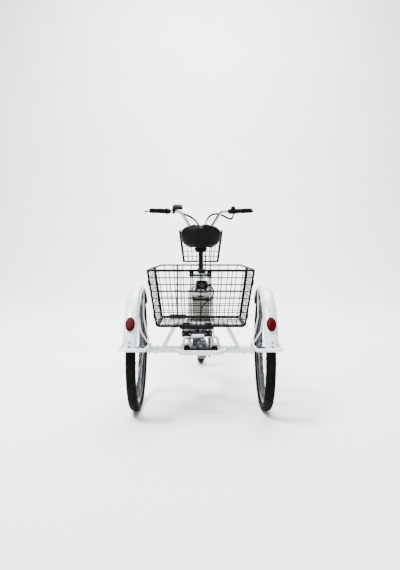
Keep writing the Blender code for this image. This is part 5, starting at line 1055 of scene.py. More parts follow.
def makeSaddlePad():
    shape = bmesh.new()
    rings = []
    for t in [0.008 + 0.984 * i / 32 for i in range(33)]:
        rings.append([shape.verts.new(point) for point in saddleSection(t)])
    spanRings(shape, rings, 0)
    shape.faces.new(rings[0])
    shape.faces.new(rings[-1])
    bmesh.ops.recalc_face_normals(shape, faces=shape.faces)
    mesh = bpy.data.meshes.new("saddle_pad")
    shape.to_mesh(mesh)
    shape.free()
    piece = bpy.data.objects.new("saddle_pad", mesh)
    bpy.context.scene.collection.objects.link(piece)
    bpy.context.view_layer.objects.active = piece
    piece.select_set(True)
    mesh.remesh_voxel_size = saddle["voxel"]
    bpy.ops.object.voxel_remesh()
    inflate(piece, saddle["skirt"] + 0.008)
    piece.data.materials.clear()
    piece.data.materials.append(vinyl)
    piece.data.shade_smooth()
    soften = piece.modifiers.new("soften", "SUBSURF")
    soften.levels = 1
    soften.render_levels = 1
    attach(piece, "seat")
    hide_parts("saddle_cushion")
    return piece


def makePiping():  # the cord sewn round the cover's lower edge
    shape = bmesh.new()
    count = 60
    steps = [0.012 + 0.975 * (0.5 - 0.5 * cos(pi * i / count)) for i in range(count + 1)]
    right = [saddleSurface(t, radians(-34), 0.0022) for t in steps]
    left = [saddleSurface(t, radians(214), 0.0022) for t in reversed(steps)]
    tubeInto(shape, right + left, 0.0017, 10, loop=True)
    makePiece("saddle_piping", shape, [vinyl], "seat", ())


def makeSaddleFrame():  # the base plate, its rails, the spring seats on their bar and the clamp on the post
    back, length, base, barZ = saddle["back"], saddle["length"], saddle["base"], saddle["barZ"]
    shape = bmesh.new()
    steps = [0.09 + 0.79 * i / 30 for i in range(31)]
    rim = [(saddleHalf(t) * (saddle["hollow"] - 0.025), back + length * t) for t in steps]
    outline = rim + [(-x, y) for x, y in reversed(rim)]
    plateInto(shape, [outline], 0.006, Matrix.Translation((0, 0, base - 0.002)), edge=0.0012)
    noseY, barY = back + length * 0.86, back + saddle["springBack"]
    for side, word in sides:
        rail = softPath([(side * 0.012, noseY, base - 0.003), (side * 0.02, noseY - 0.03, base - 0.024),
                         (side * 0.022, noseY - 0.055, barZ + 0.009),
                         (side * 0.024, noseY - 0.12, barZ + 0.003),
                         (side * saddle["springX"], barY, barZ)], 8)
        tubeInto(shape, rail, 0.0036, 14, index=1)
        at = vec(side * saddle["springX"], barY, barZ)
        turnInto(shape, [(0.0, -0.0022), (0.015, -0.0022), (0.0168, -0.0008), (0.0168, 0.005),
                         (0.0155, 0.0062), (0.0, 0.0062)], at, (0, 0, 1), 32)
        boltInto(shape, at - vec(0, 0, 0.002), (0, 0, -1), 0.01, 0.005)
    rodInto(shape, (-0.066, barY, barZ), (0.066, barY, barZ), 0.0055, 18, index=1, edge=0.001)
    clampAtPost = seatLine(saddle["postTop"]) - vec(0, 0, 0.006)
    boxInto(shape, (0.06, 0.04, 0.036), clampAtPost, 0.006, segments=3)
    for side, word in sides:
        boltInto(shape, clampAtPost + vec(side * 0.03, 0, 0), (side, 0, 0), 0.013, 0.007)
    makePiece("saddle_frame_fitted", shape, [plastic, oxide], "seat", ("saddle_frame",))


def makeRivets(pad):  # the two rivets on the back of the cover, set on its skin
    shape = bmesh.new()
    bpy.context.view_layer.update()
    for side, word in sides:
        at = vec(side * saddle["rivetX"], saddle["back"], saddle["rivetZ"])
        found, spot, out, face = pad.ray_cast(at - vec(0, 0.1, 0), vec(0, 1, 0))
        ballInto(shape, spot if found else at + vec(0, 0.006, 0), 0.004, (1, 0.6, 1), 0)
    makePiece("saddle_rivets", shape, [oxide], "seat", ())


def makeSprings():
    wireR, r, turns, count = saddle["springWireR"], saddle["springR"], saddle["springTurns"], 120
    footZ = saddle["barZ"] + 0.0068
    height = saddle["base"] + 0.001 - 0.006 - gap - footZ
    y = saddle["back"] + saddle["springBack"]
    for side, word in sides:
        path = []
        for i in range(count + 1):
            angle = 2 * pi * turns * i / count
            rise = wireR + (height - 2 * wireR) * i / count
            path.append((side * saddle["springX"] + r * cos(angle), y + r * sin(angle), footZ + rise))
        shape = bmesh.new()
        tubeInto(shape, path, wireR, 12)
        makePiece("saddle_spring_" + word + "_coil", shape, [chrome], "seat", ("saddle_spring_" + word,))


saddlePad = makeSaddlePad()
makePiping()
makeSaddleFrame()
makeRivets(saddlePad)
makeSprings()
print("saddle padded")


# Front basket

frontBasket = {"floorZ": 0.712, "topZ": 0.935, "back": 0.462, "floorL": 0.18, "topL": 0.225, "topW": 0.3,
               "floorW": 0.24, "edgeR": 0.0034, "wireR": 0.0017, "strapZ": 0.865, "columns": 8, "rows": 6}


def makeFrontBasket():
    look = frontBasket
    floorZ, floorW, floorL, topW = look["floorZ"], look["floorW"], look["floorL"], look["topW"]
    rise, lean = look["topZ"] - floorZ, look["topL"] - floorL
    flare = (topW - floorW) / 2
    back, front = look["back"], look["back"] + floorL
    columns, rows = look["columns"], look["rows"]
    wires = {"edgeR": look["edgeR"], "wireR": look["wireR"]}
    shape = bmesh.new()
    meshPanelInto(shape, (0, back, floorZ), (1, 0, 0), (0, 0, rise), floorW, topW, columns, rows,
                  layer=-0.0014, **wires)
    meshPanelInto(shape, (0, front, floorZ), (1, 0, 0), (0, lean, rise), floorW, topW, columns, rows, **wires)
    for side, word in sides:
        meshPanelInto(shape, (side * floorW / 2, (back + front) / 2, floorZ), (0, 1, 0),
                      (side * flare, 0, rise), floorL, look["topL"], rows, rows, skew=lean / 2, **wires)
    meshPanelInto(shape, (0, back, floorZ + 0.0035), (1, 0, 0), (0, floorL, 0), floorW, floorW, columns,
                  rows, **wires)
    strapZ = look["strapZ"]
    strapAt = steer(0, 0, steerUpTo(strapZ))
    tubeInto(shape, [strapAt + vec(0, 0.012, 0), (0, back, strapZ)], 0.0058, 18)
    sleeveInto(shape, 0.0113, 0.0152, (-0.01, 0.01), (0.0007, 0.001), strapAt, headUp, 36)
    boxInto(shape, (0.13, 0.004, 0.034), (0, back - 0.0016, strapZ + 0.003), 0.0015)
    for x in (-0.048, -0.018, 0.018, 0.048):
        boltInto(shape, (x, back - 0.0034, strapZ + 0.003), (0, -1, 0), 0.008, 0.0035)
    makePiece("front_basket_mesh", shape, [wire, zinc], "steering", ("front_basket",))


makeFrontBasket()
print("front basket woven")


# Fork, stem, bars and controls

bars = {"clampZ": 0.93, "riseX": 0.135, "gripZ": 1.052, "endX": 0.326, "sweep": 0.116, "setback": 0.012,
        "barR": 0.0111, "bore": 0.0113, "gripR": 0.016, "gripL": 0.118, "throttleL": 0.045, "bodyL": 0.022,
        "bracketL": 0.022, "bracketR": 0.0165, "leverL": 0.135, "leverAhead": 0.04}
forkSize = {"bladeX": 0.054, "bladeR": 0.0095, "crown": 0.347, "crownH": 0.028, "headTo": 0.515,
            "stemR": 0.0111, "steererR": 0.0125}
clampAt = vec(0, steer(0, 0, steerUpTo(bars["clampZ"])).y, bars["clampZ"])
gripLine = vec(bars["endX"] - bars["riseX"], bars["setback"] - bars["sweep"], 0).normalized()
barEnd = vec(bars["endX"], clampAt.y - bars["sweep"], bars["gripZ"])
bracketFrom = bars["gripL"] + gap


def onGrip(side, inward, ahead=0.0, up=0.0):  # a point beside the bar, measured inward from its end
    point = barEnd - gripLine * inward + vec(-gripLine.y, gripLine.x, 0) * ahead + vec(0, 0, up)
    return vec(side * point.x, point.y, point.z)


def gripWay(side):  # outward along the grip
    return vec(side * gripLine.x, gripLine.y, 0)


def aheadWay(side):  # level and square to the grip
    return vec(side * -gripLine.y, gripLine.x, 0)


def makeFork():
    look = forkSize
    crown, crownH, bladeR = look["crown"], look["crownH"], look["bladeR"]
    shape = bmesh.new()
    crownSize = (2 * look["bladeX"] + 2 * bladeR, 0.034, crownH)
    boxInto(shape, crownSize, facing((1, 0, 0), headForward, steer(0, 0, crown + crownH / 2)), 0.007,
            segments=4)
    rodInto(shape, steer(0, 0, crown + 0.01), steer(0, 0, look["headTo"] + 0.012), look["steererR"], 32)
    turnInto(shape, [(0.0128, 0.0), (0.0185, 0.0), (0.0195, 0.004), (0.02, 0.012), (0.0128, 0.012)],
             steer(0, 0, crown + crownH - 0.001), headUp, 40, loop=True, index=1)

    def onAxle(side, reach):  # beyond the end of the hub
        return frontHub + vec(side * (wheel["frontHalf"] + reach), 0, 0)

    for side, word in sides:
        x = side * look["bladeX"]
        blade = [steer(x, 0, crown + 0.012), steer(x, 0, 0.12), steer(x, layout["rake"] - 0.004, 0.012)]
        path = rounded(blade, 0.16, 14)
        radii = [bladeR - 0.0022 * max(0.0, i / (len(path) - 1) - 0.3) / 0.7 for i in range(len(path))]
        tubeInto(shape, path, radii, 26)
        weldInto(shape, steer(x, 0, crown - 0.0005), headUp, bladeR + 0.0004)
        rodInto(shape, onAxle(side, 0.0045), onAxle(side, 0.0105), 0.015, 32, edge=0.0012)
        boltInto(shape, onAxle(side, 0.0105), (side, 0, 0), 0.017, 0.008)
        rodInto(shape, onAxle(side, 0.01), onAxle(side, 0.0215), 0.0048, 16, index=1, edge=0.0006)
    rodInto(shape, onAxle(-1, 0.006), onAxle(1, 0.006), 0.005, 16, index=1)
    # The cover plate of the drum brake
    turnInto(shape, [(0.0, 0.0), (0.041, 0.0), (0.0418, -0.0008), (0.0418, -0.003), (0.03, -0.0042),
                     (0.015, -0.0046), (0.0115, -0.006), (0.0115, -0.0175), (0.0, -0.0175)],
             frontHub + vec(wheel["flangeX"] + 0.0095, 0, 0), (-1, 0, 0), 48, index=2)
    rodInto(shape, steer(0, 0, crown + 0.006), steer(0, 0, 0.33), 0.0068, 18)
    makePiece("fork_brazed", shape, [enamel, zinc, alloy], "steering", ("fork",), 38)


def makeStem():
    top = forkSize["headTo"]
    shape = bmesh.new()
    rodInto(shape, steer(0, 0, top + 0.013), clampAt, forkSize["stemR"], 32)
    locknut = [steer(0, 0, top + reach) for reach in (0.0006, 0.0126, 0.014)]
    tubeInto(shape, locknut, [0.0182, 0.0182, 0.0164], 8)
    sleeveInto(shape, bars["bore"], 0.019, (-0.022, 0.022), (0.001, 0.0012), clampAt, (1, 0, 0), 44)
    lug = clampAt - headUp * 0.021 + headForward * 0.004
    boxInto(shape, (0.03, 0.014, 0.012), facing((1, 0, 0), headForward, lug), 0.003)
    boltInto(shape, clampAt - headUp * 0.0265 + headForward * 0.006, -headUp, 0.009, 0.005)
    makePiece("stem_polished", shape, [chrome, zinc], "steering", ("stem",), 38)


def makeBar():
    half = [clampAt + vec(0.035, 0, 0), clampAt + vec(0.062, 0, 0.004),
            vec(bars["riseX"], clampAt.y - bars["setback"], bars["gripZ"]), barEnd]
    path = rounded([vec(-p.x, p.y, p.z) for p in reversed(half)] + half, 0.045, 14)
    shape = bmesh.new()
    tubeInto(shape, path, bars["barR"], 32)
    makePiece("handlebar_polished", shape, [chrome], "steering", ("handlebar",))


def gripProfile(start, length, radius, pitch, lip):  # rings moulded round a grip, then its end lip
    profile = [(0.0, start), (radius - 0.003, start), (radius - 0.0006, start + 0.0016),
               (radius, start + 0.004)]
    at = start + 0.007
    while at < start + length - 0.012:
        profile += [(radius, at), (radius - 0.0011, at + pitch * 0.18), (radius - 0.0011, at + pitch * 0.5),
                    (radius, at + pitch * 0.68)]
        at += pitch
    end = start + length
    if lip:
        profile += [(radius, end - 0.0062), (radius + lip, end - 0.0046), (radius + lip, end - 0.0008),
                    (radius + lip - 0.0008, end)]
    else:
        profile += [(radius, end - 0.001), (radius - 0.001, end)]
    return profile + [(bars["barR"], end)]


def makeGrips():
    look = bars
    rightL = look["gripL"] - look["throttleL"] - gap
    for side, word, length, lip in ((-1, "left", look["gripL"], 0.005), (1, "right", rightL, 0.0)):
        shape = bmesh.new()
        profile = gripProfile(-0.003, length + 0.003, look["gripR"], 0.0042, lip)
        turnInto(shape, profile, onGrip(side, 0), -gripWay(side), 44)
        makePiece("grip_" + word + "_ribbed", shape, [gripRubber], "steering", ("grip_" + word,), 30)
    shape = bmesh.new()
    start = rightL + 2 * gap
    profile = gripProfile(start, look["gripL"] - start, look["gripR"] - 0.001, 0.0034, 0.004)
    turnInto(shape, profile, onGrip(1, 0), -gripWay(1), 44)
    makePiece("throttle_sleeve_ribbed", shape, [gripRubber], "throttle", ("throttle_sleeve",),
              30)


# A lever bracket: the clamp, its two ears, the pivot and the cable barrel
def bracketInto(shape, side, inner):
    wide, ahead = bars["bracketL"], bars["leverAhead"]
    sleeveInto(shape, bars["bore"], bars["bracketR"], (0.0, wide), (0.0009, 0.001), onGrip(side, inner),
               -gripWay(side))
    middle = inner + wide / 2
    boxInto(shape, (wide, 0.0156, 0.016), facing(gripWay(side), (0, 0, 1), onGrip(side, middle, 0.02)), 0.002)
    for way in (-1, 1):
        ear = facing(gripWay(side), (0, 0, 1), onGrip(side, middle, 0.035, way * 0.0061))
        boxInto(shape, (wide, 0.0036, 0.03), ear, 0.0014)
        rodInto(shape, onGrip(side, middle, ahead, way * 0.007), onGrip(side, middle, ahead, way * 0.0096),
                0.004, 18, index=1, edge=0.0006)
    rodInto(shape, onGrip(side, middle, ahead, -0.006), onGrip(side, middle, ahead, 0.006), 0.002, 12,
            index=1)
    boltInto(shape, onGrip(side, middle, 0.004, -0.016), (0, 0, -1), 0.007, 0.004)
    barrel = [(0.0, 0.0), (0.0046, 0.0), (0.0046, 0.006), (0.0036, 0.0066), (0.0034, 0.011), (0.0, 0.011)]
    turnInto(shape, barrel, onGrip(side, inner + wide - 0.001, 0.028), -gripWay(side), 24, index=1)


def makeBrackets():
    wide = bars["bodyL"]
    middle = bracketFrom + wide / 2
    shape = bmesh.new()
    bracketInto(shape, -1, bracketFrom)
    makePiece("brake_bracket_left_cast", shape, [plastic, zinc], "steering", ("brake_bracket_left",),
              38)
    shape = bmesh.new()
    bracketInto(shape, 1, bracketFrom + wide - 0.001)
    turn = facing(gripWay(1), (0, 0, 1), onGrip(1, middle, 0, 0.006))
    boxInto(shape, (wide, 0.052, 0.036), turn, 0.005, segments=4)
    boxInto(shape, (0.0006, 0.0525, 0.0365), turn, 0.0002, segments=1)
    for up in (-0.01168, 0.02432):
        turnInto(shape, [(0.0, 0.0), (0.003, 0.0), (0.0024, 0.0012), (0.0, 0.0012)],
                 onGrip(1, middle, -0.0175, up), -aheadWay(1), 16, index=1)
    makePiece("throttle_body_moulded", shape, [plastic, zinc], "steering", ("brake_bracket_right",),
              38)
    shape = bmesh.new()
    turnInto(shape, [(0.0, -0.0043), (0.0054, -0.0043), (0.0054, 0.0018), (0.0048, 0.0024), (0.0, 0.003)],
             onGrip(1, middle, -0.018, 0.017), -aheadWay(1), 28)
    makePiece("horn_button_cap", shape, [lens], "horn_button", ("horn_button",), 38)


def makeLevers():
    blade = ((0.002, 0.001), (0.02, 0.01), (0.045, 0.017), (0.08, 0.018), (bars["leverL"], 0.02))
    for side, word, inner in ((-1, "left", bracketFrom), (1, "right", bracketFrom + bars["bodyL"] - 0.001)):
        pivot = onGrip(side, inner + bars["bracketL"] / 2, bars["leverAhead"])
        path = softPath([pivot + gripWay(side) * out + aheadWay(side) * ahead for out, ahead in blade], 10)
        radii = [0.0042 - 0.001 * i / (len(path) - 1) for i in range(len(path))]
        shape = bmesh.new()
        tubeInto(shape, path, radii, 20)
        for vertex in shape.verts:  # a flat blade, taller away from its pivot
            taller = min(1.0, max(0.0, ((vertex.co - pivot).length - 0.022) / 0.02))
            vertex.co.z = pivot.z + (vertex.co.z - pivot.z) * (0.86 + 0.62 * taller)
        sleeveInto(shape, 0.0023, 0.0066, (-0.0035, 0.0035), (0.0006, 0.0007), pivot, (0, 0, 1), 28)
        ballInto(shape, path[-1], 0.0072, (1, 1, 1))
        node = "brake_lever_" + word
        makePiece(node + "_forged", shape, [plastic], node, (node,), 45)


def makeDisplay():
    inner = bars["gripL"] + bars["bracketL"] + 0.016
    at = onGrip(-1, inner + 0.01)
    centre = at + vec(0.028, -0.004, 0.03)
    tilt = Matrix.Rotation(radians(35), 4, "X")
    up = tilt.to_3x3() @ vec(0, 0, 1)
    buttonAt = centre + vec(0.026, 0, 0)
    shape = bmesh.new()
    boxInto(shape, (0.066, 0.042, 0.02), Matrix.Translation(centre - up * 0.003) @ tilt, 0.0042, segments=4)
    window = centre + vec(-0.0065, 0, 0) + up * 0.0071
    boxInto(shape, (0.044, 0.033, 0.0012), Matrix.Translation(window) @ tilt, 0.0005, index=1)
    turnInto(shape, [(0.0041, 0.0), (0.006, 0.0), (0.006, 0.0008), (0.0054, 0.0014), (0.0041, 0.0014)],
             buttonAt + up * 0.0066, up, 28, loop=True)
    sleeveInto(shape, bars["bore"], 0.015, (0.0, 0.016), (0.0008, 0.001), onGrip(-1, inner), -gripWay(-1), 36)
    boxInto(shape, (0.014, 0.014, 0.018), at + vec(0, -0.002, 0.018), 0.002)
    boltInto(shape, onGrip(-1, inner + 0.008, 0.0, -0.0146), (0, 0, -1), 0.0065, 0.0035, index=2)
    makePiece("display_moulded", shape, [plastic, glass, zinc], "steering", ("display_unit",),
              38)
    shape = bmesh.new()
    turnInto(shape, [(0.0, 0.0), (0.0038, 0.0), (0.0038, 0.003), (0.0031, 0.0037), (0.0, 0.0041)],
             buttonAt + up * 0.0053, up, 24)
    makePiece("display_button_cap", shape, [greyPlastic], "display_button", ("display_button",),
              38)


# A brake cable and an electric lead lying together, one over the other
def leadPairInto(shape, path, radius):
    last = len(path) - 1
    for way in (-1, 1):
        spread = [way * radius * 1.02 * min(1.0, 6 * i / last, 6 * (last - i) / last)
                  for i in range(last + 1)]
        tubeInto(shape, [point + vec(0, 0, rise) for point, rise in zip(path, spread)], radius)


def makeControlLeads():
    leadR, tailR = 0.0034, 0.0019
    join = steer(0.026, 0.04, 0.56)
    leftStart = onGrip(-1, bars["gripL"] + bars["bracketL"] + 0.008, 0.028)
    left = softPath([leftStart, leftStart - gripWay(-1) * 0.008, leftStart + vec(0.03, 0.018, 0.002),
                     clampAt + vec(-0.07, 0.03, 0.09), clampAt + vec(-0.01, 0.034, 0.03),
                     join + vec(0.002, 0.004, 0.05), join], 10)
    rightStart = onGrip(1, bars["gripL"] + 0.007, -0.006, -0.02)
    right = softPath([rightStart, rightStart - vec(0, 0, 0.012), rightStart + vec(-0.022, 0.014, -0.03),
                      clampAt + vec(0.133, 0.022, 0.104), clampAt + vec(0.09, 0.034, 0.108),
                      clampAt + vec(0.055, 0.038, 0.09), clampAt + vec(0.032, 0.038, 0.04),
                      join + vec(0.004, 0.002, 0.05), join], 10)
    down = softPath([join + headUp * 0.004, steer(0.032, 0.02, 0.51), steer(0.032, -0.01, 0.46),
                     steer(0.0285, -0.045, 0.405), steer(0.006, -0.064, 0.386)], 10)
    shape = bmesh.new()
    leadPairInto(shape, left, leadR)
    leadPairInto(shape, right, leadR)
    tubeInto(shape, down, leadR)
    for share in (0.1, 0.55):
        tieInto(shape, down, share, 0.003, 0.0014, 20)
    tailFrom = onGrip(-1, bars["gripL"] + bars["bracketL"] + 0.03, 0.006, 0.018)
    tailTo = left[len(left) // 3]
    tail = softPath([tailFrom, tailFrom + vec(0.012, 0.02, -0.012), tailTo + vec(-0.012, 0.004, 0.01),
                     tailTo], 8)
    tubeInto(shape, tail, tailR)
    makePiece("control_leads", shape, [gripRubber], "steering", ("control_harness",), 60)


def makeBrakeCable():
    start = onGrip(1, bars["gripL"] + bars["bodyL"] + bars["bracketL"] + 0.008, 0.028)
    path = softPath([start, start + vec(-0.034, 0.014, 0.006), clampAt + vec(0.1, 0.04, 0.08),
                     clampAt + vec(0.072, 0.048, 0.0), clampAt + vec(0.074, 0.06, -0.09),
                     steer(0.066, 0.012, 0.43), steer(0.069, 0.0105, 0.3), steer(0.069, 0.0065, 0.16),
                     steer(0.07, 0.03, 0.06), frontHub + vec(0.073, -0.012, 0.018)], 10)
    shape = bmesh.new()
    tubeInto(shape, path, 0.0032)
    for ahead, up in ((0.0105, 0.29), (0.0065, 0.16)):
        boxInto(shape, (0.018, 0.008, 0.008), facing((1, 0, 0), headForward, steer(0.066, ahead, up)), 0.0015)
    way = (path[-1] - path[-2]).normalized()
    turnInto(shape, [(0.0, 0.0), (0.004, 0.0), (0.004, 0.01), (0.0028, 0.012), (0.0, 0.012)],
             path[-1] - way * 0.01, way, 20, index=1)
    makePiece("front_brake_cable_sheathed", shape, [gripRubber, zinc], "steering", ("front_brake_cable",),
              60)


makeFork()
makeStem()
makeBar()
makeGrips()
makeBrackets()
makeLevers()
makeDisplay()
makeControlLeads()
makeBrakeCable()
print("steering dressed")


# Chain drive, cranks and motor

drive = {"pitch": 0.0127, "ringTeeth": 36, "cogTeeth": 18, "chainX": 0.045, "toothT": 0.0024, "crankL": 0.16,
         "crankX": 0.062, "crankT": 0.014, "crankAngle": 27.5, "pedalIn": 0.088, "pedalW": 0.1,
         "pedalD": 0.066, "arms": 5, "ribs": 6, "caseR": 0.045, "caseFrom": -0.014, "caseTo": 0.026}
ringR = drive["pitch"] / 2 / sin(pi / drive["ringTeeth"])
cogR = drive["pitch"] / 2 / sin(pi / drive["cogTeeth"])


def sprocketOutline(teeth, radius):  # rounded valleys for the rollers and narrow tooth tips between them
    loop = []
    for i in range(teeth):
        valley = 2 * pi * i / teeth
        crest = valley + pi / teeth
        for reach, angle in ((-0.0026, valley - 0.0032 / radius), (-0.004, valley - 0.0013 / radius),
                             (-0.004, valley + 0.0013 / radius), (-0.0026, valley + 0.0032 / radius),
                             (0.002, crest - 0.0017 / radius), (0.003, crest - 0.0007 / radius),
                             (0.003, crest + 0.0007 / radius), (0.002, crest + 0.0017 / radius)):
            loop.append(((radius + reach) * cos(angle), (radius + reach) * sin(angle)))
    return loop


def seatedPins(centre, radius, teeth, low, high):  # the pins in a sprocket's valleys between two angles
    step = 2 * pi / teeth
    angles = [step * i for i in range(round(low / step), round(high / step) + 1)]
    return [vec(0, centre.y + radius * cos(a), centre.z + radius * sin(a)) for a in angles]


def runPins(start, end):  # the pins of a straight run, without its two ends
    links = round((end - start).length / drive["pitch"])
    return [start.lerp(end, i / links) for i in range(1, links)]


# One plate, round at both pins and waisted between them
def linkPlateInto(shape, start, end, x, thick, half):
    way = (end - start).normalized()
    square = vec(0, -way.z, way.y)
    middle = start.lerp(end, 0.5)
    outline = []
    for pin, turn, waist in ((start, 120, -0.66), (end, -60, 0.66)):
        for k in range(7):
            angle = radians(turn + 20 * k)
            outline.append(pin + half * (cos(angle) * way + sin(angle) * square))
        outline.append(middle + square * half * waist)
    rings = [[shape.verts.new(p + vec(x + off, 0, 0)) for p in outline] for off in (-thick / 2, thick / 2)]
    spanRings(shape, rings, 0)
    shape.faces.new(list(reversed(rings[0])))
    shape.faces.new(rings[1])


def makeChain():
    span = bracketAt - rearAxle
    tilt = atan2(span.z, span.y)
    spread = asin((ringR - cogR) / span.length)
    top, foot = tilt + pi / 2 + spread, tilt - pi / 2 - spread
    front = seatedPins(bracketAt, ringR, drive["ringTeeth"], foot, top)
    back = seatedPins(rearAxle, cogR, drive["cogTeeth"], top, foot + 2 * pi)
    pins = front + runPins(front[-1], back[0]) + back + runPins(back[-1], front[0])
    middle = vec(drive["chainX"], 0, 0)
    shape = bmesh.new()
    for i, (start, end) in enumerate(zip(pins, pins[1:] + pins[:1])):
        offset, half = (0.0034, 0.004) if i % 2 else (0.0023, 0.0038)
        for side, word in sides:
            linkPlateInto(shape, start, end, drive["chainX"] + side * offset, 0.001, half)
        for reach, radius, around in ((0.0017, 0.0037, 14), (0.0044, 0.0017, 8)):  # the roller, then the pin
            across = vec(reach, 0, 0)
            rodInto(shape, start + middle - across, start + middle + across, radius, around)
    makePiece("drive_chain_linked", shape, [oiled], "frame", ("drive_chain",), 40)
    print("chain links:", len(pins))


def makeSprocket():
    turn = facing((0, 1, 0), (0, 0, 1), rearAxle + vec(drive["chainX"], 0, 0))
    holes = [circle(0.0026, 12, place) for place in circle(0.0275, 9)]
    outline = sprocketOutline(drive["cogTeeth"], cogR)
    shape = bmesh.new()
    plateInto(shape, [outline, circle(0.015, 36)] + holes, drive["toothT"], turn, edge=0.0003)
    makePiece("drive_sprocket_plated", shape, [gold], "differential", ("drive_sprocket",), 30)


def makeDifferential():
    hubTo = drive["chainX"] - drive["toothT"] / 2 - gap
    case, start, end, ribs = drive["caseR"], drive["caseFrom"], drive["caseTo"], drive["ribs"]
    shape = bmesh.new()
    turnInto(shape, [(0.0, 0.05), (0.0125, 0.05), (0.0135, 0.049), (0.0135, hubTo), (0.0232, hubTo),
                     (0.024, hubTo - 0.0008), (0.024, end + 0.002), (0.0262, end), (case - 0.0055, end),
                     (case - 0.005, end - 0.003), (case - 0.001, end - 0.0034), (case, end - 0.0044),
                     (case, end - 0.012), (case - 0.001, end - 0.0128), (case - 0.001, end - 0.014),
                     (case, end - 0.0148), (case, start + 0.006), (case - 0.003, start + 0.001),
                     (case - 0.008, start), (0.026, start - 0.0022), (0.0215, start - 0.006),
                     (0.02, start - 0.009), (0.02, -0.049), (0.019, -0.05), (0.0, -0.05)], rearAxle,
             (1, 0, 0), 72)
    for k in range(ribs):  # the bolts of the cover
        angle = 2 * pi * (k + 0.5) / ribs
        at = rearAxle + vec(end, 0.0345 * cos(angle), 0.0345 * sin(angle))
        boltInto(shape, at, (1, 0, 0), 0.007, 0.0036)
    for y, z in circle(1.0, ribs):
        out = vec(0, y, z)
        fin = facing((1, 0, 0), out, rearAxle + vec(start - 0.011, 0, 0) + out * 0.0235)
        boxInto(shape, (0.018, 0.01, 0.003), fin, 0.0008)
    makePiece("differential_case_cast", shape, [cast, zinc], "differential", ("differential_case",),
              35)


def crankArmInto(shape, side, angle):
    reach = vec(0, cos(angle), sin(angle))
    square = vec(0, -sin(angle), cos(angle))
    length, x = drive["crankL"], side * (drive["crankX"] + drive["crankT"] / 2)
    inner, outer = [], []
    for k in range(13):
        nearTurn, farTurn = radians(100 + 160 * k / 12), radians(-80 + 160 * k / 12)
        inner.append((0.0165 * cos(nearTurn), 0.0165 * sin(nearTurn)))
        outer.append((length + 0.0125 * cos(farTurn), 0.0125 * sin(farTurn)))
    middle = [(length * share, -0.0112 + 0.0006 * share) for share in (0.25, 0.5, 0.75)]
    outline = inner + middle + outer + [(x, -y) for x, y in reversed(middle)]
    plateInto(shape, [outline], drive["crankT"], facing(reach, square, bracketAt + vec(x, 0, 0)), 0, 0.003)
    end = bracketAt + reach * length
    faceX = side * (drive["crankX"] + drive["crankT"])
    turnInto(shape, [(0.0, 0.003), (0.006, 0.0028), (0.0095, 0.0016), (0.0098, 0.0), (0.0, 0.0)],
             bracketAt + vec(faceX - side * 0.0006, 0, 0), (side, 0, 0), 28, index=1)
    rodInto(shape, end + vec(faceX - side * 0.004, 0, 0), end + vec(faceX + side * 0.008, 0, 0), 0.0075, 6,
            index=1)
    spindleEnd = side * (drive["pedalIn"] + drive["pedalW"] + 0.004)
    rodInto(shape, end + vec(x, 0, 0), end + vec(spindleEnd, 0, 0), 0.0058, 16, index=1, edge=0.0008)
    return end


# The opening between two arms, its sides slightly dished by the points along them
def chainringWindow(middle):
    corners = [(0.026, -0.3), (0.026, 0.3), (0.0585, 0.42), (0.0585, -0.42)]
    spots = []
    for (nearR, nearA), (farR, farA) in zip(corners, corners[1:] + corners[:1]):
        for share in (0.12, 0.5, 0.88):
            r, a = nearR + (farR - nearR) * share, nearA + (farA - nearA) * share
            spots.append((r * cos(a + middle), r * sin(a + middle)))
    return spots


def makeCrankset():
    shape = bmesh.new()
    arms = drive["arms"]
    windows = [chainringWindow(2 * pi * (i + 0.5) / arms) for i in range(arms)]
    ringAt = bracketAt + vec(drive["chainX"], 0, 0)
    outline = sprocketOutline(drive["ringTeeth"], ringR)
    plateInto(shape, [outline] + windows, drive["toothT"], facing((0, 1, 0), (0, 0, 1), ringAt), 1, 0.0003)
    for y, z in circle(0.022, arms):
        boltInto(shape, ringAt + vec(drive["toothT"] / 2, y, z), (1, 0, 0), 0.007, 0.003)
    turnInto(shape, [(0.0, 0.038), (0.016, 0.038), (0.017, 0.039), (0.017, 0.043), (0.026, 0.0438),
                     (0.026, 0.0462), (0.017, 0.047), (0.017, 0.064), (0.0, 0.064)], bracketAt, (1, 0, 0), 40)
    rodInto(shape, bracketAt - vec(0.066, 0, 0), bracketAt + vec(0.066, 0, 0), 0.008, 24, index=1)
    pedalEnds = {}
    for side, word, angle in ((-1, "left", 0.0), (1, "right", pi)):
        pedalEnds[word] = crankArmInto(shape, side, radians(drive["crankAngle"]) + angle)
    makePiece("crankset_forged", shape, [alloy, zinc], "cranks", ("crankset",), 35)
    return pedalEnds


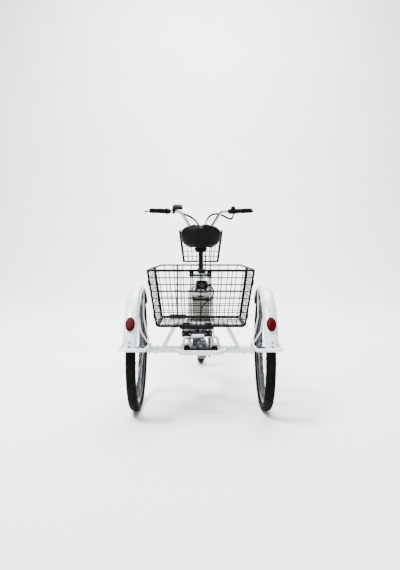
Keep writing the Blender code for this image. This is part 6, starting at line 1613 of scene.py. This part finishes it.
def makePedal(side, word, end):
    middle = end + vec(side * (drive["pedalIn"] + drive["pedalW"] / 2), 0, 0)
    half, deep = drive["pedalW"] / 2, drive["pedalD"] / 2
    shape = bmesh.new()

    def put(size, x, y, edge=0.0015):
        boxInto(shape, size, middle + vec(x, y, 0), edge)

    for way in (-1, 1):
        put((2 * half - 0.004, 0.007, 0.02), 0, way * (deep - 0.006), 0.0025)
        put((0.007, 2 * deep - 0.01, 0.018), way * (half - 0.004), 0, 0.0025)
        put((2 * half - 0.01, 0.005, 0.016), 0, way * 0.0165)
        for k in range(7):  # the moulded teeth along each tread
            put((0.006, 0.007, 0.0235), -half + 0.011 + 0.013 * k, way * (deep - 0.004))
    for k in range(-1, 2):
        put((0.0045, 2 * deep - 0.014, 0.014), k * 0.026, 0)
    sleeveInto(shape, 0.0064, 0.0115, (-half, half), (0.001, 0.001), middle, (1, 0, 0), 32)
    turnInto(shape, [(0.0062, half - 0.001), (0.0098, half - 0.001), (0.0098, half + 0.0012),
                     (0.0062, half + 0.0022)], middle, (side, 0, 0), 28, loop=True, index=1)
    node = "pedal_" + word
    makePiece(node + "_moulded", shape, [plastic, zinc], node, (node,), 38)


motor = {"from": -0.098, "to": 0.026, "radius": 0.036, "finPitch": 0.007, "finDepth": 0.0022}
motorAxis = rear(0, -0.088, 0.372)
motorGland = motorAxis + vec(-0.015, -motor["radius"] - 0.0035, 0.016)


def makeMotor():
    radius, fin = motor["radius"], motor["radius"] - motor["finDepth"]
    half = (motor["to"] - motor["from"]) / 2
    centre = motorAxis + vec((motor["from"] + motor["to"]) / 2, 0, 0)
    profile = [(0.0, half), (0.013, half), (0.015, half - 0.001), (0.0168, half - 0.003),
               (radius * 0.84, half - 0.0075), (radius * 0.96, half - 0.011), (radius, half - 0.015),
               (radius, half - 0.025)]
    at = half - 0.0285
    while at > -half + 0.036:  # the cooling grooves round the housing
        profile += [(fin, at), (fin, at - 0.0022), (radius, at - 0.003), (radius, at - 0.0046)]
        at -= motor["finPitch"]
    profile += [(radius, -half + 0.024), (radius - 0.001, -half + 0.0232), (radius - 0.001, -half + 0.0218),
                (radius, -half + 0.021), (radius, -half + 0.014), (radius * 0.94, -half + 0.008),
                (radius * 0.8, -half + 0.0045), (0.016, -half + 0.001), (0.014, -half), (0.0, -half)]
    shape = bmesh.new()
    turnInto(shape, profile, centre, (1, 0, 0), 64)
    for k in range(4):
        angle = radians(45 + 90 * k)
        for side, word in sides:
            at = centre + vec(side * (half - 0.0045), radius * 0.68 * cos(angle), radius * 0.68 * sin(angle))
            boltInto(shape, at, (side, 0, 0), 0.007, 0.0034)
    foot = rear(-0.022, -0.12, axleZ + 0.021)
    boxInto(shape, (0.044, 0.056, 0.062), foot, 0.004, segments=3)
    for x in (-0.015, 0.015):
        boltInto(shape, foot + vec(x, -0.028, -0.014), (0, -1, 0), 0.008, 0.004)
    turnInto(shape, [(0.0, -0.012), (0.0068, -0.012), (0.0068, 0.002), (0.005, 0.005), (0.0, 0.005)],
             motorGland, (0, -0.7, 0.7), 24, index=2)
    makePiece("drive_motor_cast", shape, [cast, zinc, plastic], "frame", ("drive_motor",), 38)


makeChain()
makeSprocket()
makeDifferential()
pedalEnds = makeCrankset()
for side, word in sides:
    makePedal(side, word, pedalEnds[word])
makeMotor()
print("drive built")


# Battery, key switch and seat post

battery = {"w": 0.092, "d": 0.072, "l": 0.2, "foot": 0.09, "setback": 0.0405, "controllerW": 0.072,
           "controllerL": 0.045, "lidL": 0.04, "seam": 0.0008}
keyBox = {"size": (0.064, 0.022, 0.048), "offset": (0.005, -0.0165, 0.006),
          "plugAt": (0.0365, -0.0165, 0.004)}
post = {"r": 0.0127, "foot": 0.56, "clampTop": 0.693, "clampLow": 0.677, "clampR": 0.0215}
seatTurn = facing((1, 0, 0), -seatBack)
batteryAt = (seatLine(bracketAt.z + battery["foot"] + battery["l"] * seatUp.z / 2)
             + seatBack * (battery["setback"] + battery["d"] / 2))


def onBattery(x, back, up):  # a point in the battery's own frame, from its middle
    return batteryAt + vec(x, 0, 0) + seatBack * back + seatUp * up


def turnedTo(at):  # laid along the seat tube
    return Matrix.Translation(at) @ seatTurn


def makeBattery():
    look = battery
    w, d, length = look["w"], look["d"], look["l"]
    half, joint = length / 2, look["seam"]
    seam = half - look["lidL"]
    shape = bmesh.new()
    boxInto(shape, (w, d, half + seam - joint), turnedTo(onBattery(0, 0, (seam - joint - half) / 2)), 0.008,
            segments=5)
    boxInto(shape, (w, d, half - seam - joint), turnedTo(onBattery(0, 0, (seam + joint + half) / 2)), 0.008,
            segments=5)
    boxInto(shape, (w - 0.006, d - 0.006, 0.024), turnedTo(onBattery(0, 0, seam)), 0.004, index=1)
    for x in (-0.03, -0.01, 0.01, 0.03):
        boxInto(shape, (0.004, 0.003, length * 0.52), turnedTo(onBattery(x, d / 2, -0.028)), 0.0012)
    for x in (-0.037, 0.037):
        for up in (0.012 - half, seam - 0.012, seam + 0.012):
            turnInto(shape, [(0.0, 0.0), (0.0032, 0.0), (0.0028, 0.0012), (0.001, 0.0012), (0.0, 0.0004)],
                     onBattery(x, d / 2 - 0.0002, up), seatBack, 16, index=2)
    boxInto(shape, (0.026, 0.0016, 0.008), turnedTo(onBattery(0, d / 2, seam + 0.018)), 0.0006, index=3)
    low, high = half - 0.005, half + 0.024
    grip = [onBattery(-0.026, 0, low), onBattery(-0.026, 0, high), onBattery(0.026, 0, high),
            onBattery(0.026, 0, low)]
    tubeInto(shape, rounded(grip, 0.01, 8), 0.0055, 20, index=1)
    makePiece("battery_case_moulded", shape, [greyPlastic, plastic, zinc, glass], "battery",
              ("battery_case",), 38)


def makeBatteryRail():
    look = battery
    face = -(look["d"] / 2 + gap)
    railT = look["setback"] - mainFrame["seatTubeR"] - 2 * gap
    long = look["l"] + look["controllerL"] + 0.004
    up = -(look["controllerL"] / 2 + 0.002)
    shape = bmesh.new()
    for x in (-0.013, 0.013):
        boxInto(shape, (0.008, railT, long), turnedTo(onBattery(x, face - railT / 2, up)), 0.0012)
    boxInto(shape, (0.034, 0.006, long), turnedTo(onBattery(0, face - 0.003, up)), 0.0012)
    for share in (-0.4, -0.13, 0.13, 0.4):
        boxInto(shape, (0.03, 0.012, 0.012), turnedTo(onBattery(0, face + gap - 0.016, up + long * share)),
                0.0012)
    makePiece("battery_rail_extruded", shape, [alloy], "frame", ("battery_rail",), 38)


def makeController():
    look = battery
    high, deep = look["controllerL"], look["d"] - 0.01
    drop = look["l"] / 2 + high / 2 + 2 * gap
    shape = bmesh.new()
    boxInto(shape, (look["controllerW"], deep, high), turnedTo(onBattery(0, -0.005, -drop)), 0.004,
            segments=3)
    for k in range(9):
        fin = onBattery(-0.028 + 0.007 * k, deep / 2 - 0.005, -drop)
        boxInto(shape, (0.0022, 0.005, high - 0.008), turnedTo(fin), 0.0006)
    makePiece("controller_finned", shape, [plastic], "frame", ("controller",), 38)


def makeKeySwitch():
    centre = guardTop + Vector(keyBox["offset"])
    wide, deep, high = keyBox["size"]
    face = centre - vec(0, deep / 2, 0)
    shape = bmesh.new()
    boxInto(shape, (wide, deep, high), centre, 0.005, segments=4)
    boxInto(shape, (wide - 0.008, 0.0016, high - 0.008), face, 0.0006)
    for x in (-0.0235, 0.0235):
        for z in (-0.0155, 0.0155):
            turnInto(shape, [(0.0, 0.0), (0.0026, 0.0), (0.0021, 0.001), (0.0, 0.001)],
                     face + vec(x, -0.0008, z), (0, -1, 0), 14, index=1)
    turnInto(shape, [(0.0093, 0.0), (0.012, 0.0), (0.012, 0.0012), (0.0108, 0.0022), (0.0093, 0.0022)],
             face - vec(0, 0.0006, 0), (0, -1, 0), 32, loop=True, index=1)
    turnInto(shape, [(0.0, 0.0), (0.006, 0.0), (0.006, 0.005), (0.0042, 0.008), (0.0, 0.008)],
             guardTop + Vector(keyBox["plugAt"]), (1, 0, 0), 20)
    makePiece("key_switch_box_moulded", shape, [plastic, zinc], "frame", ("key_switch_box",),
              38)
    shape = bmesh.new()
    turnInto(shape, [(0.0, -0.0076), (0.0088, -0.0076), (0.0088, 0.0014), (0.0082, 0.002), (0.0, 0.002)],
             face, (0, -1, 0), 32)
    boxInto(shape, (0.002, 0.0006, 0.01), face - vec(0, 0.0022, 0), 0.0, index=1)
    makePiece("key_barrel_turned", shape, [zinc, oxide], "key_barrel", ("key_barrel",), 35)


def makeSeatPost():
    shape = bmesh.new()
    rodInto(shape, seatLine(post["foot"]), seatLine(saddle["postTop"]), post["r"], 36, edge=0.0008)
    makePiece("seat_post_drawn", shape, [oxide], "seat", ("seat_post",), 38)


def makeSeatClamp():
    top, low = seatLine(post["clampTop"]), seatLine(post["clampLow"])
    middle, half = (top + low) / 2, (top - low).length / 2
    clampR = post["clampR"]
    shape = bmesh.new()
    turnInto(shape, [(0.0175, -half), (clampR - 0.001, -half), (clampR, -half + 0.001),
                     (clampR, half - 0.001), (clampR - 0.001, half), (0.0132, half), (0.0132, half - 0.0026),
                     (0.0175, half - 0.003)], middle, seatUp, 44, loop=True)
    for x in (-0.0056, 0.0056):
        boxInto(shape, (0.0088, 0.018, 0.012), turnedTo(middle + vec(x, 0, 0) + seatBack * 0.0255), 0.002)
    pinAt = middle + seatBack * 0.0295
    rodInto(shape, pinAt - vec(0.0155, 0, 0), pinAt + vec(0.0105, 0, 0), 0.0028, 16, index=1)
    boltInto(shape, pinAt - vec(0.01, 0, 0), (-1, 0, 0), 0.0085, 0.005)
    makePiece("seat_clamp_cast", shape, [oxide, zinc], "frame", ("seat_clamp",), 38)
    pivot = pinAt + vec(0.0175, 0, 0)
    shape = bmesh.new()
    rodInto(shape, pivot - vec(0.0062, 0, 0), pivot + vec(0.0062, 0, 0), 0.0085, 28, edge=0.001)
    arm = softPath([pivot + vec(0.003, 0, 0), pivot + vec(0.008, 0.018, -0.008),
                    pivot + vec(0.009, 0.04, -0.015), pivot + vec(0.008, 0.06, -0.02)], 8)
    tubeInto(shape, arm, [0.0042 - 0.0006 * abs(i - 12) / 12 for i in range(len(arm))], 18)
    ballInto(shape, arm[-1], 0.0042, (0.8, 1, 1.2))
    makePiece("seat_clamp_lever_bent", shape, [oxide], "seat_clamp_lever", ("seat_clamp_lever",),
              40)


def makeMotorCable():
    plug = guardTop + Vector(keyBox["plugAt"]) + vec(0.0008, 0, 0)
    last = motorAxis + vec(-0.015, -0.042, 0.016)
    path = softPath([plug, plug + vec(0.014, 0, -0.001), plug + vec(0.028, -0.002, -0.02),
                     plug + vec(0.031, -0.004, -0.044), plug + vec(0.018, -0.008, -0.072),
                     plug + vec(-0.012, -0.012, -0.092), plug + vec(-0.034, -0.014, -0.122),
                     plug + vec(-0.038, -0.014, -0.165), last + vec(0.005, -0.004, 0.02), last], 10)
    shape = bmesh.new()
    tubeInto(shape, path, 0.0036)
    for share in (0.3, 0.72):
        tieInto(shape, path, share, 0.0036, 0.0012, 18)
    makePiece("motor_cable_sheathed", shape, [gripRubber], "frame", ("motor_cable",), 60)


# The clips and the strap that hold the rear basket's front wall to the seat tube's bracket
def makeBasketStraps():
    shape = bmesh.new()
    back = basket["front"]
    for x in (-0.049, 0.044):
        boxInto(shape, (0.024, 0.008, 0.03), rear(x, back + 0.001, 0.676), 0.003, segments=3)
        boltInto(shape, rear(x, back + 0.005, 0.676), (0, -1, 0), 0.008, 0.0035)
    boxInto(shape, (0.1, 0.0022, 0.012), rear(-0.002, back - 0.004, 0.668), 0.0008, index=1)
    makePiece("basket_front_straps", shape, [plastic, zinc], "frame", (), 40)


makeBattery()
makeBatteryRail()
makeController()
makeKeySwitch()
makeSeatPost()
makeSeatClamp()
makeMotorCable()
makeBasketStraps()
print("battery, switch and post fitted")


# Floor, lights and camera

camera = {"at": (0.0, -3.355, 0.817), "focalPx": 554.0, "imageHeight": 570.0, "horizonPx": 247.0,
          "vanishPx": 200.8, "centre": (200.0, 285.0), "sensorMm": 36.0}
room = {"halfW": 11.0, "behind": -9.0, "flatTo": 5.0, "curveR": 3.0, "wallTop": 9.0, "glow": "#f6f8fa",
        "glowStrength": 0.3}
lamps = {"key": {"at": (-1.9, -2.0, 4.8), "aim": (0, 0, 0.45), "size": 1.6, "watts": 760},
         "fill": {"at": (3.0, -2.6, 1.8), "aim": (0, 0, 0.45), "size": 2.4, "watts": 45},
         "top": {"at": (0.3, 0.6, 5.0), "aim": (0, 0, 0.4), "size": 2.6, "watts": 300},
         "sweep": {"at": (0.0, 3.2, 6.0), "aim": (0, 7.0, 0.6), "size": 5.0, "watts": 1600}}


def makeFloor():  # a level floor that curves up into the wall behind
    flatTo, curveR = room["flatTo"], room["curveR"]
    path = [(room["behind"], 0.0), (flatTo, 0.0)]
    for angle in (radians(7.5 * k) for k in range(1, 13)):
        path.append((flatTo + curveR * sin(angle), curveR - curveR * cos(angle)))
    path.append((flatTo + curveR, room["wallTop"]))
    shape = bmesh.new()
    rows = [[shape.verts.new((x, y, z)) for x in (-room["halfW"], room["halfW"])] for y, z in path]
    for (a, b), (c, d) in zip(rows, rows[1:]):
        shape.faces.new((a, b, d, c))
    floorMesh = bpy.data.meshes.new("studio_sweep")
    shape.to_mesh(floorMesh)
    shape.free()
    floorMesh.shade_smooth()
    floor = bpy.data.objects.new("studio_sweep", floorMesh)
    paper = makeFinish("pale studio floor", {  # painted plaster sweep: even, matt and nearly white
        "light": "#f4f4f3", "dark": "#f0f0ef", "patchMm": 900,
        "rough": (0.7, 0.8), "grainMm": 6.0, "bump": 0.01})
    floorMesh.materials.append(paper)
    bpy.context.scene.collection.objects.link(floor)


def makeLights():
    world = bpy.data.worlds.new("soft_room")
    world.use_nodes = True
    background = world.node_tree.nodes["Background"]
    background.inputs["Color"].default_value = linear(room["glow"])
    background.inputs["Strength"].default_value = room["glowStrength"]
    bpy.context.scene.world = world
    for name, look in lamps.items():
        lamp = bpy.data.lights.new(name, "AREA")
        lamp.shape = "SQUARE"
        lamp.size = look["size"]
        lamp.energy = look["watts"]
        holder = bpy.data.objects.new(name, lamp)
        holder.location = look["at"]
        holder.rotation_euler = (Vector(look["aim"]) - Vector(look["at"])).to_track_quat("-Z", "Y").to_euler()
        bpy.context.scene.collection.objects.link(holder)


def makeCamera():
    lensData = bpy.data.cameras.new("photo_camera")
    lensData.sensor_width = camera["sensorMm"]
    lensData.lens = camera["focalPx"] / camera["imageHeight"] * camera["sensorMm"]
    lensData.shift_x = (camera["centre"][0] - camera["vanishPx"]) / camera["imageHeight"]
    lensData.shift_y = (camera["horizonPx"] - camera["centre"][1]) / camera["imageHeight"]
    lensData.clip_start = 0.05
    holder = bpy.data.objects.new("photo_camera", lensData)
    holder.location = camera["at"]
    holder.rotation_euler = (radians(90), 0, 0)
    bpy.context.scene.collection.objects.link(holder)
    bpy.context.scene.camera = holder


makeFloor()
makeLights()
makeCamera()
print("stage lit", bpy.context.scene.view_settings.view_transform, bpy.context.scene.view_settings.look)
